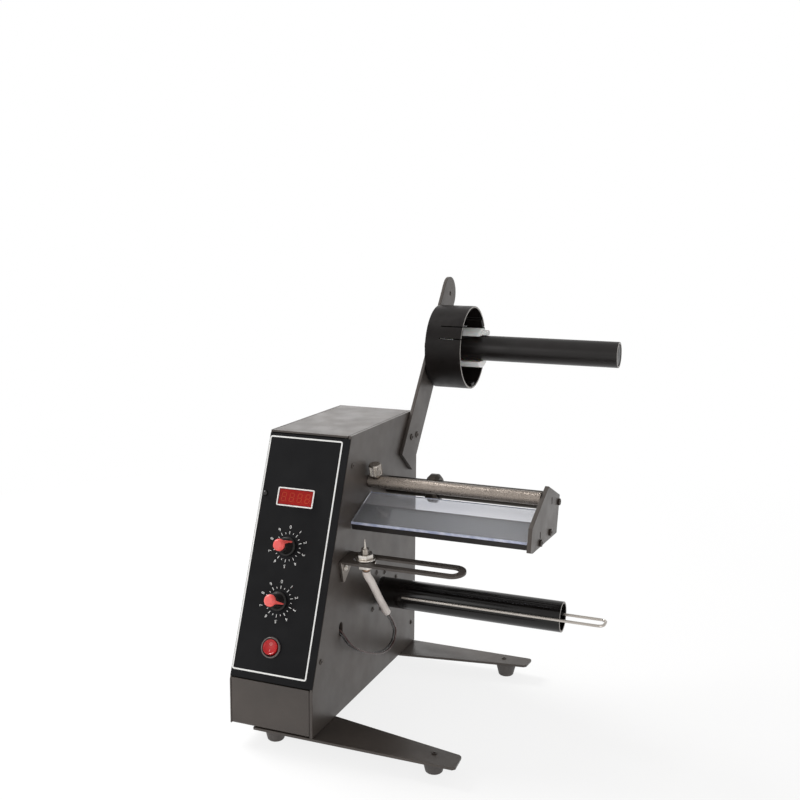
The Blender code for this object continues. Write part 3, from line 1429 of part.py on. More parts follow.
def make_sensor(machine, tilt):
    """Threaded sensor, clamped in the slot by its nuts and washers, with a sleeve over its lead."""
    slide = frame_empty("sensor_slide", (SENSOR_X, 0, 0), (0, 0, 0), tilt)
    low = -BRACKET_THICKNESS / 2 - SENSOR_BELOW
    high = low + SENSOR_LENGTH
    profile = [
        (0.0, high + SENSOR_TIP_LENGTH),
        (SENSOR_TIP_RADIUS / 2, high + SENSOR_TIP_LENGTH),
        (SENSOR_TIP_RADIUS, high + SENSOR_TIP_RADIUS),
        (SENSOR_RADIUS - SENSOR_TIP_RADIUS, high),
        (SENSOR_RADIUS, high - SENSOR_TIP_RADIUS),
        (SENSOR_RADIUS, low),
        (0.0, low),
    ]
    turned("sensor_barrel", profile, "steel", slide, segments=SMALL_SEGMENTS)

    bore = circle((0, 0), SENSOR_RADIUS + GAP, SMALL_SEGMENTS)
    washer = circle((0, 0), SENSOR_WASHER_RADIUS, SMALL_SEGMENTS)
    middle = BRACKET_THICKNESS / 2 + GAP + SENSOR_WASHER_HEIGHT / 2
    nut_height = SENSOR_NUT_HEIGHT + SENSOR_WASHER_HEIGHT / 2
    for name, side in (("sensor_top_nut", 1), ("sensor_lower_nut", -1)):
        place = (0, 0, side * middle)
        flange = flat_piece(name, [washer, bore], SENSOR_WASHER_HEIGHT, "steel", slide, place)
        place = (0, 0, side * (middle + nut_height / 2))
        hexagonal = [hexagon(SENSOR_NUT_FLATS), bore]
        nut = flat_piece(name + "_flats", hexagonal, nut_height, None, slide, place)
        combine(flange, [nut], "UNION")

    route = smooth_route(SLEEVE_ROUTE, LEAD_POINT_SPACING)
    wire("sensor_sleeve", route, SLEEVE_RADIUS, "white_plastic", machine, 3)
    wire("sensor_lead", smooth_route(LEAD_ROUTE, LEAD_POINT_SPACING), LEAD_RADIUS, "lead_black", machine)


def leg_outline(front):
    """A flat leg from under the housing to its tapered right end; the rear one is turned over."""
    corner = LEG_CORNER
    root = FRONT_LEG_ROOT_WIDTH if front else REAR_LEG_ROOT_WIDTH
    end = FRONT_LEG_END_WIDTH if front else REAR_LEG_END_WIDTH
    points = [
        (LEG_START_X, 0.0),
        (LEG_END_X - corner, 0.0),
        (LEG_END_X, corner),
        (LEG_END_X - corner / 2, end - corner),
        (LEG_END_X - 1.5 * corner, end),
        (0.0, root),
        (LEG_START_X, root),
    ]
    if front:
        return points
    return [(x, BODY_DEPTH - y) for x, y in points][::-1]


def make_legs(machine):
    feet = foot_places()
    leg_z = -GAP - LEG_THICKNESS / 2
    for name, front in (("front_leg", True), ("rear_leg", False)):
        flat_piece(name, [leg_outline(front)], LEG_THICKNESS, "powder_coat", machine, (0, 0, leg_z))

    top = -GAP - LEG_THICKNESS - GAP
    bottom = top - FOOT_HEIGHT
    profile = [
        (0.0, top),
        (FOOT_RADIUS, top),
        (FOOT_BOTTOM_RADIUS, bottom + FOOT_EDGE),
        (FOOT_BOTTOM_RADIUS - FOOT_EDGE, bottom),
        (0.0, bottom),
    ]
    for name, (x, y) in feet.items():
        turned(name, profile, "rubber", machine, (x, y, 0), segments=SMALL_SEGMENTS)


def main():
    clear_scene()
    machine = frame_empty("machine", ORIGIN, (0, 0, 0))
    make_housing(machine)
    make_legs(machine)
    panel = frame_empty("panel_slope", (0, 0, LOWER_FRONT_HEIGHT), (PANEL_TILT, 0, 0), machine)
    make_panel(panel)
    make_display_board(panel)
    make_potentiometer("length_potentiometer", LENGTH_DIAL_V, panel)
    make_potentiometer("speed_potentiometer", SPEED_DIAL_V, panel)
    make_knob("length_knob", LENGTH_DIAL_V, panel, LENGTH_POINTER_DEGREES)
    make_knob("speed_knob", SPEED_DIAL_V, panel, SPEED_POINTER_DEGREES)
    make_switch(panel)
    make_reset_button(panel)
    make_control_board(machine)
    make_transformer(machine)
    make_inlet(machine)
    make_gear_motor(machine)
    make_take_up(machine)
    make_clip(machine)
    make_arm(machine)
    make_axle(machine)
    make_supply_spool(machine)
    make_table(machine)
    make_knurled_rod(machine)
    make_guide_rod(machine)
    place = (0, BRACKET_CENTRE_Y, BRACKET_TOP_Z - BRACKET_THICKNESS / 2)
    tilt = frame_empty("bracket_tilt", place, (BRACKET_TILT, 0, 0), machine)
    make_sensor_bracket(tilt)
    make_sensor(machine, tilt)
    bpy.context.view_layer.update()


main()
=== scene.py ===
"""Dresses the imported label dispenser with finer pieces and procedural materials, in a plain studio.

Places are in the machine's own millimetres: x = 0 on the thick side plate's outer face, y = 0 on the lower
front face and z = 0 under the housing floor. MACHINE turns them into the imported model's metres.
"""

import math

import bmesh
import bpy
from mathutils import Matrix, Vector


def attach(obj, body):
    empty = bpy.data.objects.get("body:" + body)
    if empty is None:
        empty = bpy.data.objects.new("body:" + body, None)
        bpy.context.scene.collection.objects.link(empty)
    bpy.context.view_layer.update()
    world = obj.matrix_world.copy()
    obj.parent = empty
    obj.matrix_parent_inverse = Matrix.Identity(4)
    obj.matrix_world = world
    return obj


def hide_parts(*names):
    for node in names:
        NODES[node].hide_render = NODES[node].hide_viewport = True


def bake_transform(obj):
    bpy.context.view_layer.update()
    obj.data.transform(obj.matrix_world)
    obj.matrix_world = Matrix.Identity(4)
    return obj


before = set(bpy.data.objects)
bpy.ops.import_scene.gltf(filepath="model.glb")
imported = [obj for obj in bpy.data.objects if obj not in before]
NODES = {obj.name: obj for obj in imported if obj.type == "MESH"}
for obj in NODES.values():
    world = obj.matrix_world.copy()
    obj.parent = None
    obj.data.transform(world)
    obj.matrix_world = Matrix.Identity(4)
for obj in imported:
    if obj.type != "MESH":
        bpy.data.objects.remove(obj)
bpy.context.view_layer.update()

MM = 0.001
SHIFT = (-60.55, -149.3, 14.6)
MACHINE = Matrix.Translation(Vector(SHIFT) * MM) @ Matrix.Scale(MM, 4)
# Local x, y and z lie along Y, Z and X
FACING_X = Matrix(((0, 0, 1, 0), (1, 0, 0, 0), (0, 1, 0, 0), (0, 0, 0, 1)))
SIDE = MACHINE @ FACING_X

# Housing, in millimetres like every length below
BODY_WIDTH = 69.4
BODY_HEIGHT = 214.3
BODY_DEPTH = 208.0
CREASE_Z = 36.7
PANEL_TOP_Y = 68.6
REAR_BEND = 12.0
SIDE_SHEET = 2.5
COVER_SHEET = 1.2
SHELL_SHEET = 1.5
PANEL_SETBACK = 0.7
LEAN = math.atan2(PANEL_TOP_Y, BODY_HEIGHT - CREASE_Z)
SLOPE = math.hypot(PANEL_TOP_Y, BODY_HEIGHT - CREASE_Z)
PANEL = MACHINE @ Matrix.Translation((0, 0, CREASE_Z)) @ Matrix.Rotation(math.pi / 2 - LEAN, 4, "X")

# Places on the sloping panel: x across it and v up it from the crease
CONTROL_X = -38.7
LENGTH_V = 101.7
SPEED_V = 60.3
SWITCH_V = 26.1
RESET_PLACE = (-64.9, 140.3)
PRINT_HEIGHT = 0.06
GAP = 0.3

# Rods, shafts and holes that run along X, each as y and z
SPOOL = (248.968, 266.174)
TAKE_UP = (124.0, 74.0)
PRESSING_ROD = (103.0, 172.0)
GUIDE_ROD = (143.5, 160.4)
FRONT_TIE = (88.7, 142.05)
LOWER_TIE = (118.3, 142.4)
LEAD_HOLE = (49.5, 67.0)
ARM_SCREWS = ((187.4, 192.7), (199.8, 192.7))

ARM_TIP = (283.09, 311.457)
ARM_LEAN = math.radians(37)
ARM_LENGTH = 174.5
ARM_HALF_WIDTH = 15.5
ARM_FACE_X = 3.3
TONGUE_TURN = math.radians(124.7)
TONGUE_WIDTH = 11.4
DRUM_RADIUS = 37.0
ROD_END_X = 140.7
END_PLATE_X = (141.0, 144.2)
SENSOR_X = 17.4
SENSOR_RADIUS = 3.0

TABLE = MACHINE @ Matrix.Translation((0, 66.0, 148.3)) @ Matrix.Rotation(math.radians(20.6), 4, "X")
BRACKET = MACHINE @ Matrix.Translation((0, 56.65, 122.0)) @ Matrix.Rotation(math.radians(7), 4, "X")
THUMB = MACHINE @ Matrix.Translation((6.5, *PRESSING_ROD)) @ Matrix.Rotation(math.radians(15), 4, "X")

# The camera's place and directions, fitted to the photograph
CAMERA_PLACE = (330.934, -658.907, 372.654)
CAMERA_RIGHT = (0.927806, 0.372969, 0.008391)
CAMERA_UP = (-0.067544, 0.145819, 0.987003)
CAMERA_LENS = 48.019
# Each lamp's place and size in metres, and its power in watts
LAMPS = (
    ("key", (-1.3, 0.25, 1.25), 0.8, 34),
    ("back", (-0.95, 1.8, 0.7), 0.9, 2.2),
    ("side", (1.2, -1.1, 0.35), 1.0, 6),
    ("front", (-0.9, -1.5, 0.7), 1.0, 4),
)


def along_x(y, z):
    """A turned piece's frame: its own Z runs along the machine's X."""
    return MACHINE @ Matrix.Translation((0, y, z)) @ Matrix.Rotation(math.pi / 2, 4, "Y")


def place(x, y, z):
    """A place in the machine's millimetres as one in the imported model's metres."""
    return MACHINE @ Vector((x, y, z))


# Materials


def linear(colour):
    """An sRGB hex colour as linear red, green, blue and alpha."""
    values = []
    for start in (0, 2, 4):
        part = int(colour[start : start + 2], 16) / 255
        values.append(part / 12.92 if part <= 0.04045 else ((part + 0.055) / 1.055) ** 2.4)
    return (*values, 1.0)


def add_node(tree, kind, inputs=(), **settings):
    """A new node: settings are its properties; inputs maps sockets to values or links."""
    node = tree.nodes.new(kind)
    for key, value in settings.items():
        setattr(node, key, value)
    for key, value in dict(inputs).items():
        if isinstance(value, bpy.types.NodeSocket):
            tree.links.new(value, node.inputs[key])
        else:
            node.inputs[key].default_value = value
    return node


class Look:
    """A Principled material with a short way to add nodes that read the object's own coordinates."""

    def __init__(self, name, colour, roughness, metallic=0.0, **sockets):
        self.material = bpy.data.materials.new(name)
        self.material.use_nodes = True
        self.tree = self.material.node_tree
        self.shader = self.tree.nodes["Principled BSDF"]
        self.shader.inputs["Base Color"].default_value = linear(colour)
        self.shader.inputs["Roughness"].default_value = roughness
        self.shader.inputs["Metallic"].default_value = metallic
        for socket, value in sockets.items():
            self.shader.inputs[socket.replace("_", " ")].default_value = value
        self.coordinates = self.add("ShaderNodeTexCoord").outputs["Object"]

    def add(self, kind, inputs=(), **settings):
        return add_node(self.tree, kind, inputs, **settings)

    def math(self, operation, first, second=0.0):
        return self.add("ShaderNodeMath", {0: first, 1: second}, operation=operation).outputs[0]

    def noise(self, scale, detail=3.0, roughness=0.5, stretch=(1, 1, 1)):
        mapped = self.add("ShaderNodeMapping", {"Vector": self.coordinates, "Scale": stretch}).outputs[0]
        inputs = {"Vector": mapped, "Scale": scale, "Detail": detail, "Roughness": roughness}
        return self.add("ShaderNodeTexNoise", inputs).outputs["Fac"]

    def spread(self, factor, low, high, from_low=0.35, from_high=0.65):
        inputs = {"Value": factor, "From Min": from_low, "From Max": from_high, "To Min": low, "To Max": high}
        return self.add("ShaderNodeMapRange", inputs).outputs[0]

    def colours(self, factor, first, second, from_low=0.35, from_high=0.65):
        """Drives the base colour between two hex colours."""
        share = self.spread(factor, 0.0, 1.0, from_low, from_high)
        mix = self.add("ShaderNodeMix", {0: share, 6: linear(first), 7: linear(second)}, data_type="RGBA")
        self.tree.links.new(mix.outputs[2], self.shader.inputs["Base Color"])

    def rough(self, factor, low, high):
        """Drives the roughness between two values."""
        self.tree.links.new(self.spread(factor, low, high), self.shader.inputs["Roughness"])

    def bump(self, height, strength, distance):
        node = self.add("ShaderNodeBump", {"Strength": strength, "Distance": distance, "Height": height})
        self.tree.links.new(node.outputs[0], self.shader.inputs["Normal"])


def painted(name, dark, light, low, high, grain=1500, depth=0.00006, metallic=0.0, strength=0.5, **sockets):
    """Sprayed or powder-coated metal: faint mottling and a fine orange-peel grain."""
    look = Look(name, dark, low, metallic, **sockets)
    look.colours(look.noise(26, 4), dark, light)
    look.rough(look.noise(60, 3), low, high)
    look.bump(look.noise(grain, 2), strength, depth)
    return look.material


def moulded(name, dark, light, low, high, **sockets):
    """Moulded plastic or rubber with a faint texture."""
    look = Look(name, dark, low, **sockets)
    look.colours(look.noise(45, 3), dark, light)
    look.rough(look.noise(140, 2), low, high)
    look.bump(look.noise(2600, 2), 0.35, 0.00003)
    return look.material


def turned_metal(name, dark, light, low, high, stretch=(1, 1, 1), scale=900):
    """Drawn or turned metal with fine lines along the stretch that is least."""
    look = Look(name, light, low, 1.0)
    lines = look.noise(scale, 3, 0.6, stretch)
    look.colours(lines, dark, light)
    look.rough(look.noise(180, 2), low, high)
    look.bump(lines, 0.15, 0.00002)
    return look.material


def knurled_metal():
    """Diamond knurl round the pressing rod, from the angle about its axis and the distance along it."""
    look = Look("knurled_steel", "8a8076", 0.34, 1.0)
    axis = place(0, *PRESSING_ROD)
    ridges, pitch = 30.0, 0.00105
    parts = look.add("ShaderNodeSeparateXYZ", {0: look.coordinates}).outputs
    rise = look.math("SUBTRACT", parts[2], axis.z)
    angle = look.math("ARCTAN2", rise, look.math("SUBTRACT", parts[1], axis.y))
    turns = look.math("MULTIPLY", angle, ridges)
    run = look.math("MULTIPLY", parts[0], 2 * math.pi / pitch)
    first = look.math("SINE", look.math("ADD", turns, run))
    second = look.math("SINE", look.math("SUBTRACT", turns, run))
    height = look.math("MULTIPLY", look.math("ADD", first, second), 0.25)
    grain = look.math("ADD", height, look.math("MULTIPLY", look.noise(1500, 4, 0.7), 1.6))
    look.colours(grain, "5a524b", "b9aea4", 0.3, 1.3)
    look.rough(look.noise(700, 3), 0.26, 0.4)
    look.bump(grain, 0.9, 0.00012)
    return look.material


LOOKS = {
    "body": painted("powder_coat", "3f3935", "48413c", 0.36, 0.44, metallic=0.1),
    "film": painted("printed_film", "0d0d0f", "111113", 0.5, 0.6, 2400, 0.00003, Specular_IOR_Level=0.14),
    "black_paint": painted("black_paint", "1d1a19", "242120", 0.42, 0.52, Specular_IOR_Level=0.3),
    "print": moulded("white_ink", "e4e4e2", "f2f2f0", 0.45, 0.55),
    "frame": moulded("frame_plastic", "ece9e6", "f6f4f2", 0.25, 0.35),
    "window": moulded("red_window", "961410", "a41a12", 0.4, 0.5, Specular_IOR_Level=0.15),
    "segment": moulded("display_segment", "a83a24", "b4442a", 0.45, 0.55, Specular_IOR_Level=0.15),
    "board": moulded("solder_resist", "14502c", "1c6238", 0.35, 0.45),
    "grey_cast": painted("cast_grey", "6c6c6c", "7c7c7c", 0.42, 0.55, metallic=0.6),
    "black_plastic": moulded("black_plastic", "161413", "1d1a19", 0.34, 0.44, Specular_IOR_Level=0.35),
    "red_plastic": moulded("signal_red", "e85350", "f2645e", 0.3, 0.38, Subsurface_Weight=0.06),
    "ring": moulded("ring_grey", "4c4644", "5a5350", 0.14, 0.22, Specular_IOR_Level=0.8),
    "rocker": moulded("clear_red", "a81318", "b81b1e", 0.24, 0.34, Specular_IOR_Level=0.35),
    "rocker_mark": moulded("pale_red_ink", "d08482", "da9492", 0.4, 0.5),
    "drum": moulded("drum_plastic", "120f0e", "191514", 0.36, 0.46, Specular_IOR_Level=0.16),
    # Pale grey for the end rims that face +X: a painted rim highlight
    "rim_highlight": moulded("rim_highlight", "8c8884", "a09c98", 0.4, 0.5),
    "nylon": moulded("white_nylon", "e9e8e6", "f3f2f0", 0.38, 0.46, Subsurface_Weight=0.1),
    "anodised": painted("satin_anodised", "161312", "1c1817", 0.3, 0.4, 3000, 0.00001, 0.3, 0.2),
    "gloss": painted(
        "gloss_black", "0b0908", "100d0c", 0.14, 0.2, 3000, 0.000005, 0.0, 0.2, Specular_IOR_Level=0.35
    ),
    "steel": turned_metal("bright_steel", "a8a098", "cbc5bd", 0.22, 0.32),
    "nickel": turned_metal("bright_nickel", "cdc7c0", "e6e1da", 0.28, 0.38),
    # Lighter paint for the sensor bracket tab's outer face: a painted sheen where that face catches the light
    "painted_sheen_coat": painted("painted_sheen_coat", "8d8680", "9b938c", 0.34, 0.44, metallic=0.2),
    "wire": turned_metal("drawn_wire", "b4ada5", "c6c0b9", 0.22, 0.3, (0.05, 1, 1), 1600),
    "dark_screw": painted("black_oxide", "3b3430", "463f3a", 0.32, 0.42, metallic=0.7),
    "flush_screw": painted("dark_zinc", "4b4541", "5a534e", 0.34, 0.44, metallic=0.5),
    # Near black for the floor of each screw's socket: painted shade in the recess
    "socket_shade": moulded("painted_socket_shade", "141211", "1a1716", 0.5, 0.6),
    "knurl": knurled_metal(),
    "guide": turned_metal("guide_steel", "3c3733", "4a4540", 0.34, 0.44, (0.05, 1, 1)),
    "brass": turned_metal("dull_brass", "7a5a44", "9a7558", 0.3, 0.4),
    "sleeve": moulded("shrink_sleeve", "d6cdc7", "e2dad5", 0.45, 0.55),
    "lead": moulded("lead_jacket", "1c1a19", "242120", 0.24, 0.32),
    "second_lead": moulded("brown_lead_jacket", "3a2623", "452e2a", 0.24, 0.32),
    "rubber": moulded("foot_rubber", "4a4644", "56514e", 0.5, 0.62),
}


def acrylic():
    """Clear sheet with a faint grey-blue haze."""
    look = Look("clear_acrylic", "dadbe0", 0.06, 0.0, IOR=1.49, Transmission_Weight=0.84)
    look.colours(look.noise(14, 2), "d6d8df", "dedfe3")
    look.rough(look.noise(40, 3), 0.05, 0.08)
    return look.material


def acrylic_edge():
    """The sheet's brighter sawn edges."""
    look = Look("acrylic_edge", "b9bcdc", 0.25, 0.0, Transmission_Weight=0.2)
    look.colours(look.noise(160, 2), "a9b2d0", "d9dcee")
    return look.material


LOOKS["acrylic"] = acrylic()
LOOKS["acrylic_edge"] = acrylic_edge()


# Mesh helpers


def fillet(points, radius, closed=True, steps=4):
    """Rounds the corners of a flat outline or profile."""
    count = len(points)
    made = []
    for index, point in enumerate(points):
        if not closed and index in (0, count - 1):
            made.append(tuple(point))
            continue
        corner = Vector(point)
        before = Vector(points[index - 1]) - corner
        after = Vector(points[(index + 1) % count]) - corner
        if before.length < 1e-6 or after.length < 1e-6 or before.angle(after) > math.radians(165):
            made.append(tuple(point))
            continue
        reach = min(radius / math.tan(before.angle(after) / 2), before.length * 0.48, after.length * 0.48)
        start = corner + before.normalized() * reach
        end = corner + after.normalized() * reach
        for step in range(steps + 1):
            t = step / steps
            made.append(tuple(start * (1 - t) ** 2 + corner * 2 * t * (1 - t) + end * t**2))
    return made


def circle(x, y, radius, count=48):
    """A round outline as a many-sided one."""
    return [
        (x + radius * math.cos(2 * math.pi * n / count), y + radius * math.sin(2 * math.pi * n / count))
        for n in range(count)
    ]


def slot_outline(x, y, radius, length, turn=0.0):
    """A slot with round ends about its middle, its length measured end to end."""
    points = []
    count = 48
    half = length / 2 - radius
    cosine, sine = math.cos(turn), math.sin(turn)
    for n in range(count):
        angle = 2 * math.pi * (n + 0.5) / count - math.pi / 2
        shift = half if math.cos(angle) > 0 else -half
        px, py = shift + radius * math.cos(angle), radius * math.sin(angle)
        points.append((x + px * cosine - py * sine, y + px * sine + py * cosine))
    return points


def facing(points, counterclockwise):
    """The outline's points in the wanted order round it."""
    area = sum(a[0] * b[1] - b[0] * a[1] for a, b in zip(points, points[1:] + points[:1]))
    return points if (area > 0) == counterclockwise else points[::-1]


def in_scene(name, data):
    """A new object in the scene, at its origin."""
    made = bpy.data.objects.new(name, data)
    bpy.context.scene.collection.objects.link(made)
    return made


def as_mesh(name, bm):
    """A bmesh as mesh data; the bmesh is freed."""
    mesh = bpy.data.meshes.new(name)
    bm.to_mesh(mesh)
    bm.free()
    return mesh


def mesh_of(data):
    """A curve's or text's surface as a bmesh."""
    holder = in_scene("holder", data)
    bpy.context.view_layer.update()
    mesh = bpy.data.meshes.new_from_object(holder.evaluated_get(bpy.context.evaluated_depsgraph_get()))
    bm = bmesh.new()
    bm.from_mesh(mesh)
    bpy.data.objects.remove(holder)
    bpy.data.meshes.remove(mesh)
    bmesh.ops.remove_doubles(bm, verts=bm.verts, dist=0.001)
    return bm


def add_line(curve, points):
    """A line through the points, added to the curve."""
    spline = curve.splines.new("POLY")
    spline.points.add(len(points) - 1)
    for target, point in zip(spline.points, points):
        target.co = (*point, 1.0)
    return spline


def plate_mesh(outlines, low, high, edge):
    """A plate between two heights, with eased edges; the outlines after the first are its holes."""
    curve = bpy.data.curves.new("outline", "CURVE")
    curve.dimensions = "2D"
    curve.fill_mode = "BOTH"
    curve.extrude = (high - low) / 2 - edge
    curve.bevel_depth = edge
    curve.bevel_resolution = 1 if edge else 0
    curve.offset = -edge
    for index, outline in enumerate(outlines):
        points = facing(list(outline), index == 0)
        add_line(curve, [(x, y, 0.0) for x, y in points]).use_cyclic_u = True
    bm = mesh_of(curve)
    bmesh.ops.translate(bm, vec=(0, 0, (low + high) / 2), verts=bm.verts)
    return bm


def lathe_mesh(profile, segments=96, closed=False):
    """A turned solid about its own Z from (radius, height) points."""
    bm = bmesh.new()
    points = [bm.verts.new((radius, 0, height)) for radius, height in profile]
    for first, second in zip(points, points[1:]):
        bm.edges.new((first, second))
    if closed:
        bm.edges.new((points[-1], points[0]))
    bmesh.ops.spin(
        bm,
        geom=bm.verts[:] + bm.edges[:],
        axis=(0, 0, 1),
        cent=(0, 0, 0),
        steps=segments,
        angle=2 * math.pi,
        use_merge=True,
    )
    bmesh.ops.remove_doubles(bm, verts=bm.verts, dist=0.001)
    return bm


def tube_mesh(points, radius, resolution=5):
    """A round wire or tube along points, closed at its ends."""
    curve = bpy.data.curves.new("route", "CURVE")
    curve.dimensions = "3D"
    curve.bevel_depth = radius
    curve.bevel_resolution = resolution
    curve.use_fill_caps = True
    add_line(curve, points)
    return mesh_of(curve)


def box_mesh(size, centre, edge):
    """A box with eased edges, or sharp ones where the edge is 0."""
    bm = bmesh.new()
    bmesh.ops.create_cube(bm, size=1.0)
    bmesh.ops.scale(bm, vec=Vector(size), verts=bm.verts)
    bmesh.ops.translate(bm, vec=centre, verts=bm.verts)
    if edge:
        bmesh.ops.bevel(
            bm,
            geom=bm.edges[:],
            offset=edge,
            affect="EDGES",
            segments=2,
            profile=0.5,
            material=-1,
            clamp_overlap=True,
        )
    return bm


def moved(bm, matrix):
    bmesh.ops.transform(bm, matrix=matrix, verts=bm.verts)
    return bm


def merged(parts):
    """Several bmeshes as one."""
    whole = bmesh.new()
    for part in parts:
        mesh = as_mesh("part", part)
        whole.from_mesh(mesh)
        bpy.data.meshes.remove(mesh)
    return whole


def keep_flat(made):
    """Lets the largest faces set the shading at eased edges, so that flat faces look flat."""
    change = made.modifiers.new("flat_faces", "WEIGHTED_NORMAL")
    change.mode = "FACE_AREA"
    change.weight = 90
    change.keep_sharp = True


def piece(name, bm, matrix, look, body="machine", replaces=(), angle=32, ride=True):
    """Puts a finished mesh in the scene on its body, in place of the CAD nodes that it stands for."""
    bmesh.ops.transform(bm, matrix=matrix, verts=bm.verts)
    bmesh.ops.recalc_face_normals(bm, faces=bm.faces)
    mesh = as_mesh(name, bm)
    mesh.materials.append(LOOKS[look])
    mesh.shade_smooth()
    mesh.set_sharp_from_angle(angle=math.radians(angle))
    made = in_scene(name, mesh)
    keep_flat(made)
    if replaces:
        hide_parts(*replaces)
    if ride:
        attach(made, body)
    return made


def second_look(made, look, test):
    """Another material for the faces whose middle, in the machine's millimetres, and normal pass the test."""
    made.data.materials.append(LOOKS[look])
    back = MACHINE.inverted()
    for face in made.data.polygons:
        if test(back @ face.center, face.normal):
            face.material_index = 1


def cut(made, cutters):
    """Cuts mesh pieces out of another with Booleans and applies them."""
    made.modifiers.clear()
    for cutter in cutters:
        change = made.modifiers.new("cut", "BOOLEAN")
        change.operation = "DIFFERENCE"
        change.solver = "EXACT"
        change.object = cutter
    bpy.context.view_layer.update()
    fresh = bpy.data.meshes.new_from_object(made.evaluated_get(bpy.context.evaluated_depsgraph_get()))
    made.modifiers.clear()
    made.data = fresh
    fresh.shade_smooth()
    fresh.set_sharp_from_angle(angle=math.radians(32))
    keep_flat(made)
    for cutter in cutters:
        bpy.data.objects.remove(cutter)


def loose(bm, matrix):
    """A mesh object that only serves as a cutter."""
    bmesh.ops.transform(bm, matrix=matrix, verts=bm.verts)
    bmesh.ops.recalc_face_normals(bm, faces=bm.faces)
    return in_scene("cutter", as_mesh("cutter", bm))


def smooth_route(points, spacing):
    """Points at an even spacing along a smooth curve through the route's own points."""
    route = [Vector(point) for point in points]
    ends = [route[0] * 2 - route[1], *route, route[-1] * 2 - route[-2]]
    fine = []
    for before, first, second, after in zip(ends, ends[1:], ends[2:], ends[3:]):
        steps = max(1, math.ceil((second - first).length / spacing))
        for n in range(steps):
            t = n / steps
            curve = first * 2 + (second - before) * t
            curve += (before * 2 - first * 5 + second * 4 - after) * t**2
            curve += (first * 3 - before - second * 3 + after) * t**3
            fine.append(curve / 2)
    fine.append(route[-1])
    return fine


def make_camera():
    """The camera stands where the photograph was taken."""
    camera = in_scene("camera", bpy.data.cameras.new("camera"))
    camera.data.lens = CAMERA_LENS
    camera.data.sensor_width = 36.0
    camera.data.clip_start = 0.05
    right, up = Vector(CAMERA_RIGHT), Vector(CAMERA_UP)
    turn = Matrix((right, up, right.cross(up))).transposed().to_4x4()
    camera.matrix_world = Matrix.Translation(place(*CAMERA_PLACE)) @ turn
    bpy.context.scene.camera = camera


def make_lamp(name, location, size, power):
    """A soft white round lamp, turned to the middle of the part."""
    data = bpy.data.lights.new(name, "AREA")
    data.shape = "DISK"
    data.size = size
    data.energy = power
    light = in_scene(name, data)
    light.location = location
    aim = Vector((0.0, 0.0, 0.15)) - Vector(location)
    light.rotation_euler = aim.to_track_quat("-Z", "Y").to_euler()


def make_world():
    """Pale light all round, white to the camera and through clear pieces, and half of it in glossy ones."""
    world = bpy.data.worlds.new("studio")
    bpy.context.scene.world = world
    world.use_nodes = True
    tree = world.node_tree
    tree.nodes.clear()
    rays = add_node(tree, "ShaderNodeLightPath").outputs
    inputs = {0: rays["Is Camera Ray"], 1: rays["Is Transmission Ray"]}
    clear = add_node(tree, "ShaderNodeMath", inputs, operation="MAXIMUM").outputs[0]
    inputs = {0: rays["Is Glossy Ray"], 1: 0.5, 2: clear}
    share = add_node(tree, "ShaderNodeMath", inputs, operation="MULTIPLY_ADD", use_clamp=True).outputs[0]
    light = add_node(tree, "ShaderNodeBackground", {0: linear("f4f2f0"), 1: 0.5}).outputs[0]
    white = add_node(tree, "ShaderNodeBackground", {0: linear("ffffff"), 1: 1.0}).outputs[0]
    mix = add_node(tree, "ShaderNodeMixShader", {0: share, 1: light, 2: white}).outputs[0]
    add_node(tree, "ShaderNodeOutputWorld", {0: mix})


def make_floor():
    """A pale floor, seen as white but for the part's shadow, which is strongest near the part."""
    look = Look("pale_floor", "f6f6f6", 0.7)
    look.colours(look.noise(3, 2), "f5f5f5", "f8f8f8")
    white = look.add("ShaderNodeEmission", {"Color": linear("ffffff"), "Strength": 1.0}).outputs[0]
    rays = look.add("ShaderNodeLightPath").outputs
    seen = look.math("MAXIMUM", rays["Is Camera Ray"], rays["Is Transmission Ray"])
    seen = look.math("MAXIMUM", seen, rays["Is Glossy Ray"])
    distance = look.add("ShaderNodeVectorMath", {0: look.coordinates}, operation="LENGTH").outputs["Value"]
    share = look.math("MULTIPLY", seen, look.spread(distance, 0.82, 1.0, 0.15, 0.9))
    blend = look.add("ShaderNodeMixShader", {0: share, 1: look.shader.outputs[0], 2: white}).outputs[0]
    look.tree.links.new(blend, look.tree.nodes["Material Output"].inputs[0])
    bm = bmesh.new()
    bmesh.ops.create_grid(bm, x_segments=1, y_segments=1, size=6.0)
    mesh = as_mesh("floor", bm)
    mesh.materials.append(look.material)
    floor = in_scene("floor", mesh)
    floor.location = (0.0, 0.0, -0.0002)


def make_studio():
    bpy.context.scene.view_settings.view_transform = "Standard"
    make_world()
    make_floor()
    for lamp in LAMPS:
        make_lamp(*lamp)


# Sensor lead and sleeve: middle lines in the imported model's metres, as in the part's source
LEAD_ROUTE = [
    (-0.04455, -0.0457, 0.07893),
    (-0.04465, -0.0427, 0.0754),
    (-0.04485, -0.0363, 0.0694),
    (-0.04505, -0.0307, 0.0628),
    (-0.04545, -0.0271, 0.0586),
    (-0.04585, -0.0259, 0.0543),
    (-0.04625, -0.0281, 0.0486),
    (-0.04675, -0.0348, 0.0454),
    (-0.04755, -0.0433, 0.0448),
    (-0.04855, -0.0543, 0.0471),
    (-0.04965, -0.0663, 0.0513),
    (-0.05135, -0.0783, 0.0566),
    (-0.05355, -0.0893, 0.0633),
    (-0.05615, -0.0963, 0.0704),
    (-0.05915, -0.0993, 0.0769),
    (-0.06305, -0.0998, 0.0803),
    (-0.06805, -0.0993, 0.0818),
    (-0.07305, -0.0973, 0.0826),
]
SLEEVE_ROUTE = [
    (-0.04315, -0.09155, 0.12785),
    (-0.04315, -0.0908, 0.1256),
    (-0.04315, -0.0879, 0.1221),
    (-0.04315, -0.083, 0.1176),
    (-0.04335, -0.0741, 0.108),
    (-0.04375, -0.0645, 0.0976),
    (-0.04415, -0.055, 0.0881),
    (-0.04455, -0.046, 0.0793),
]


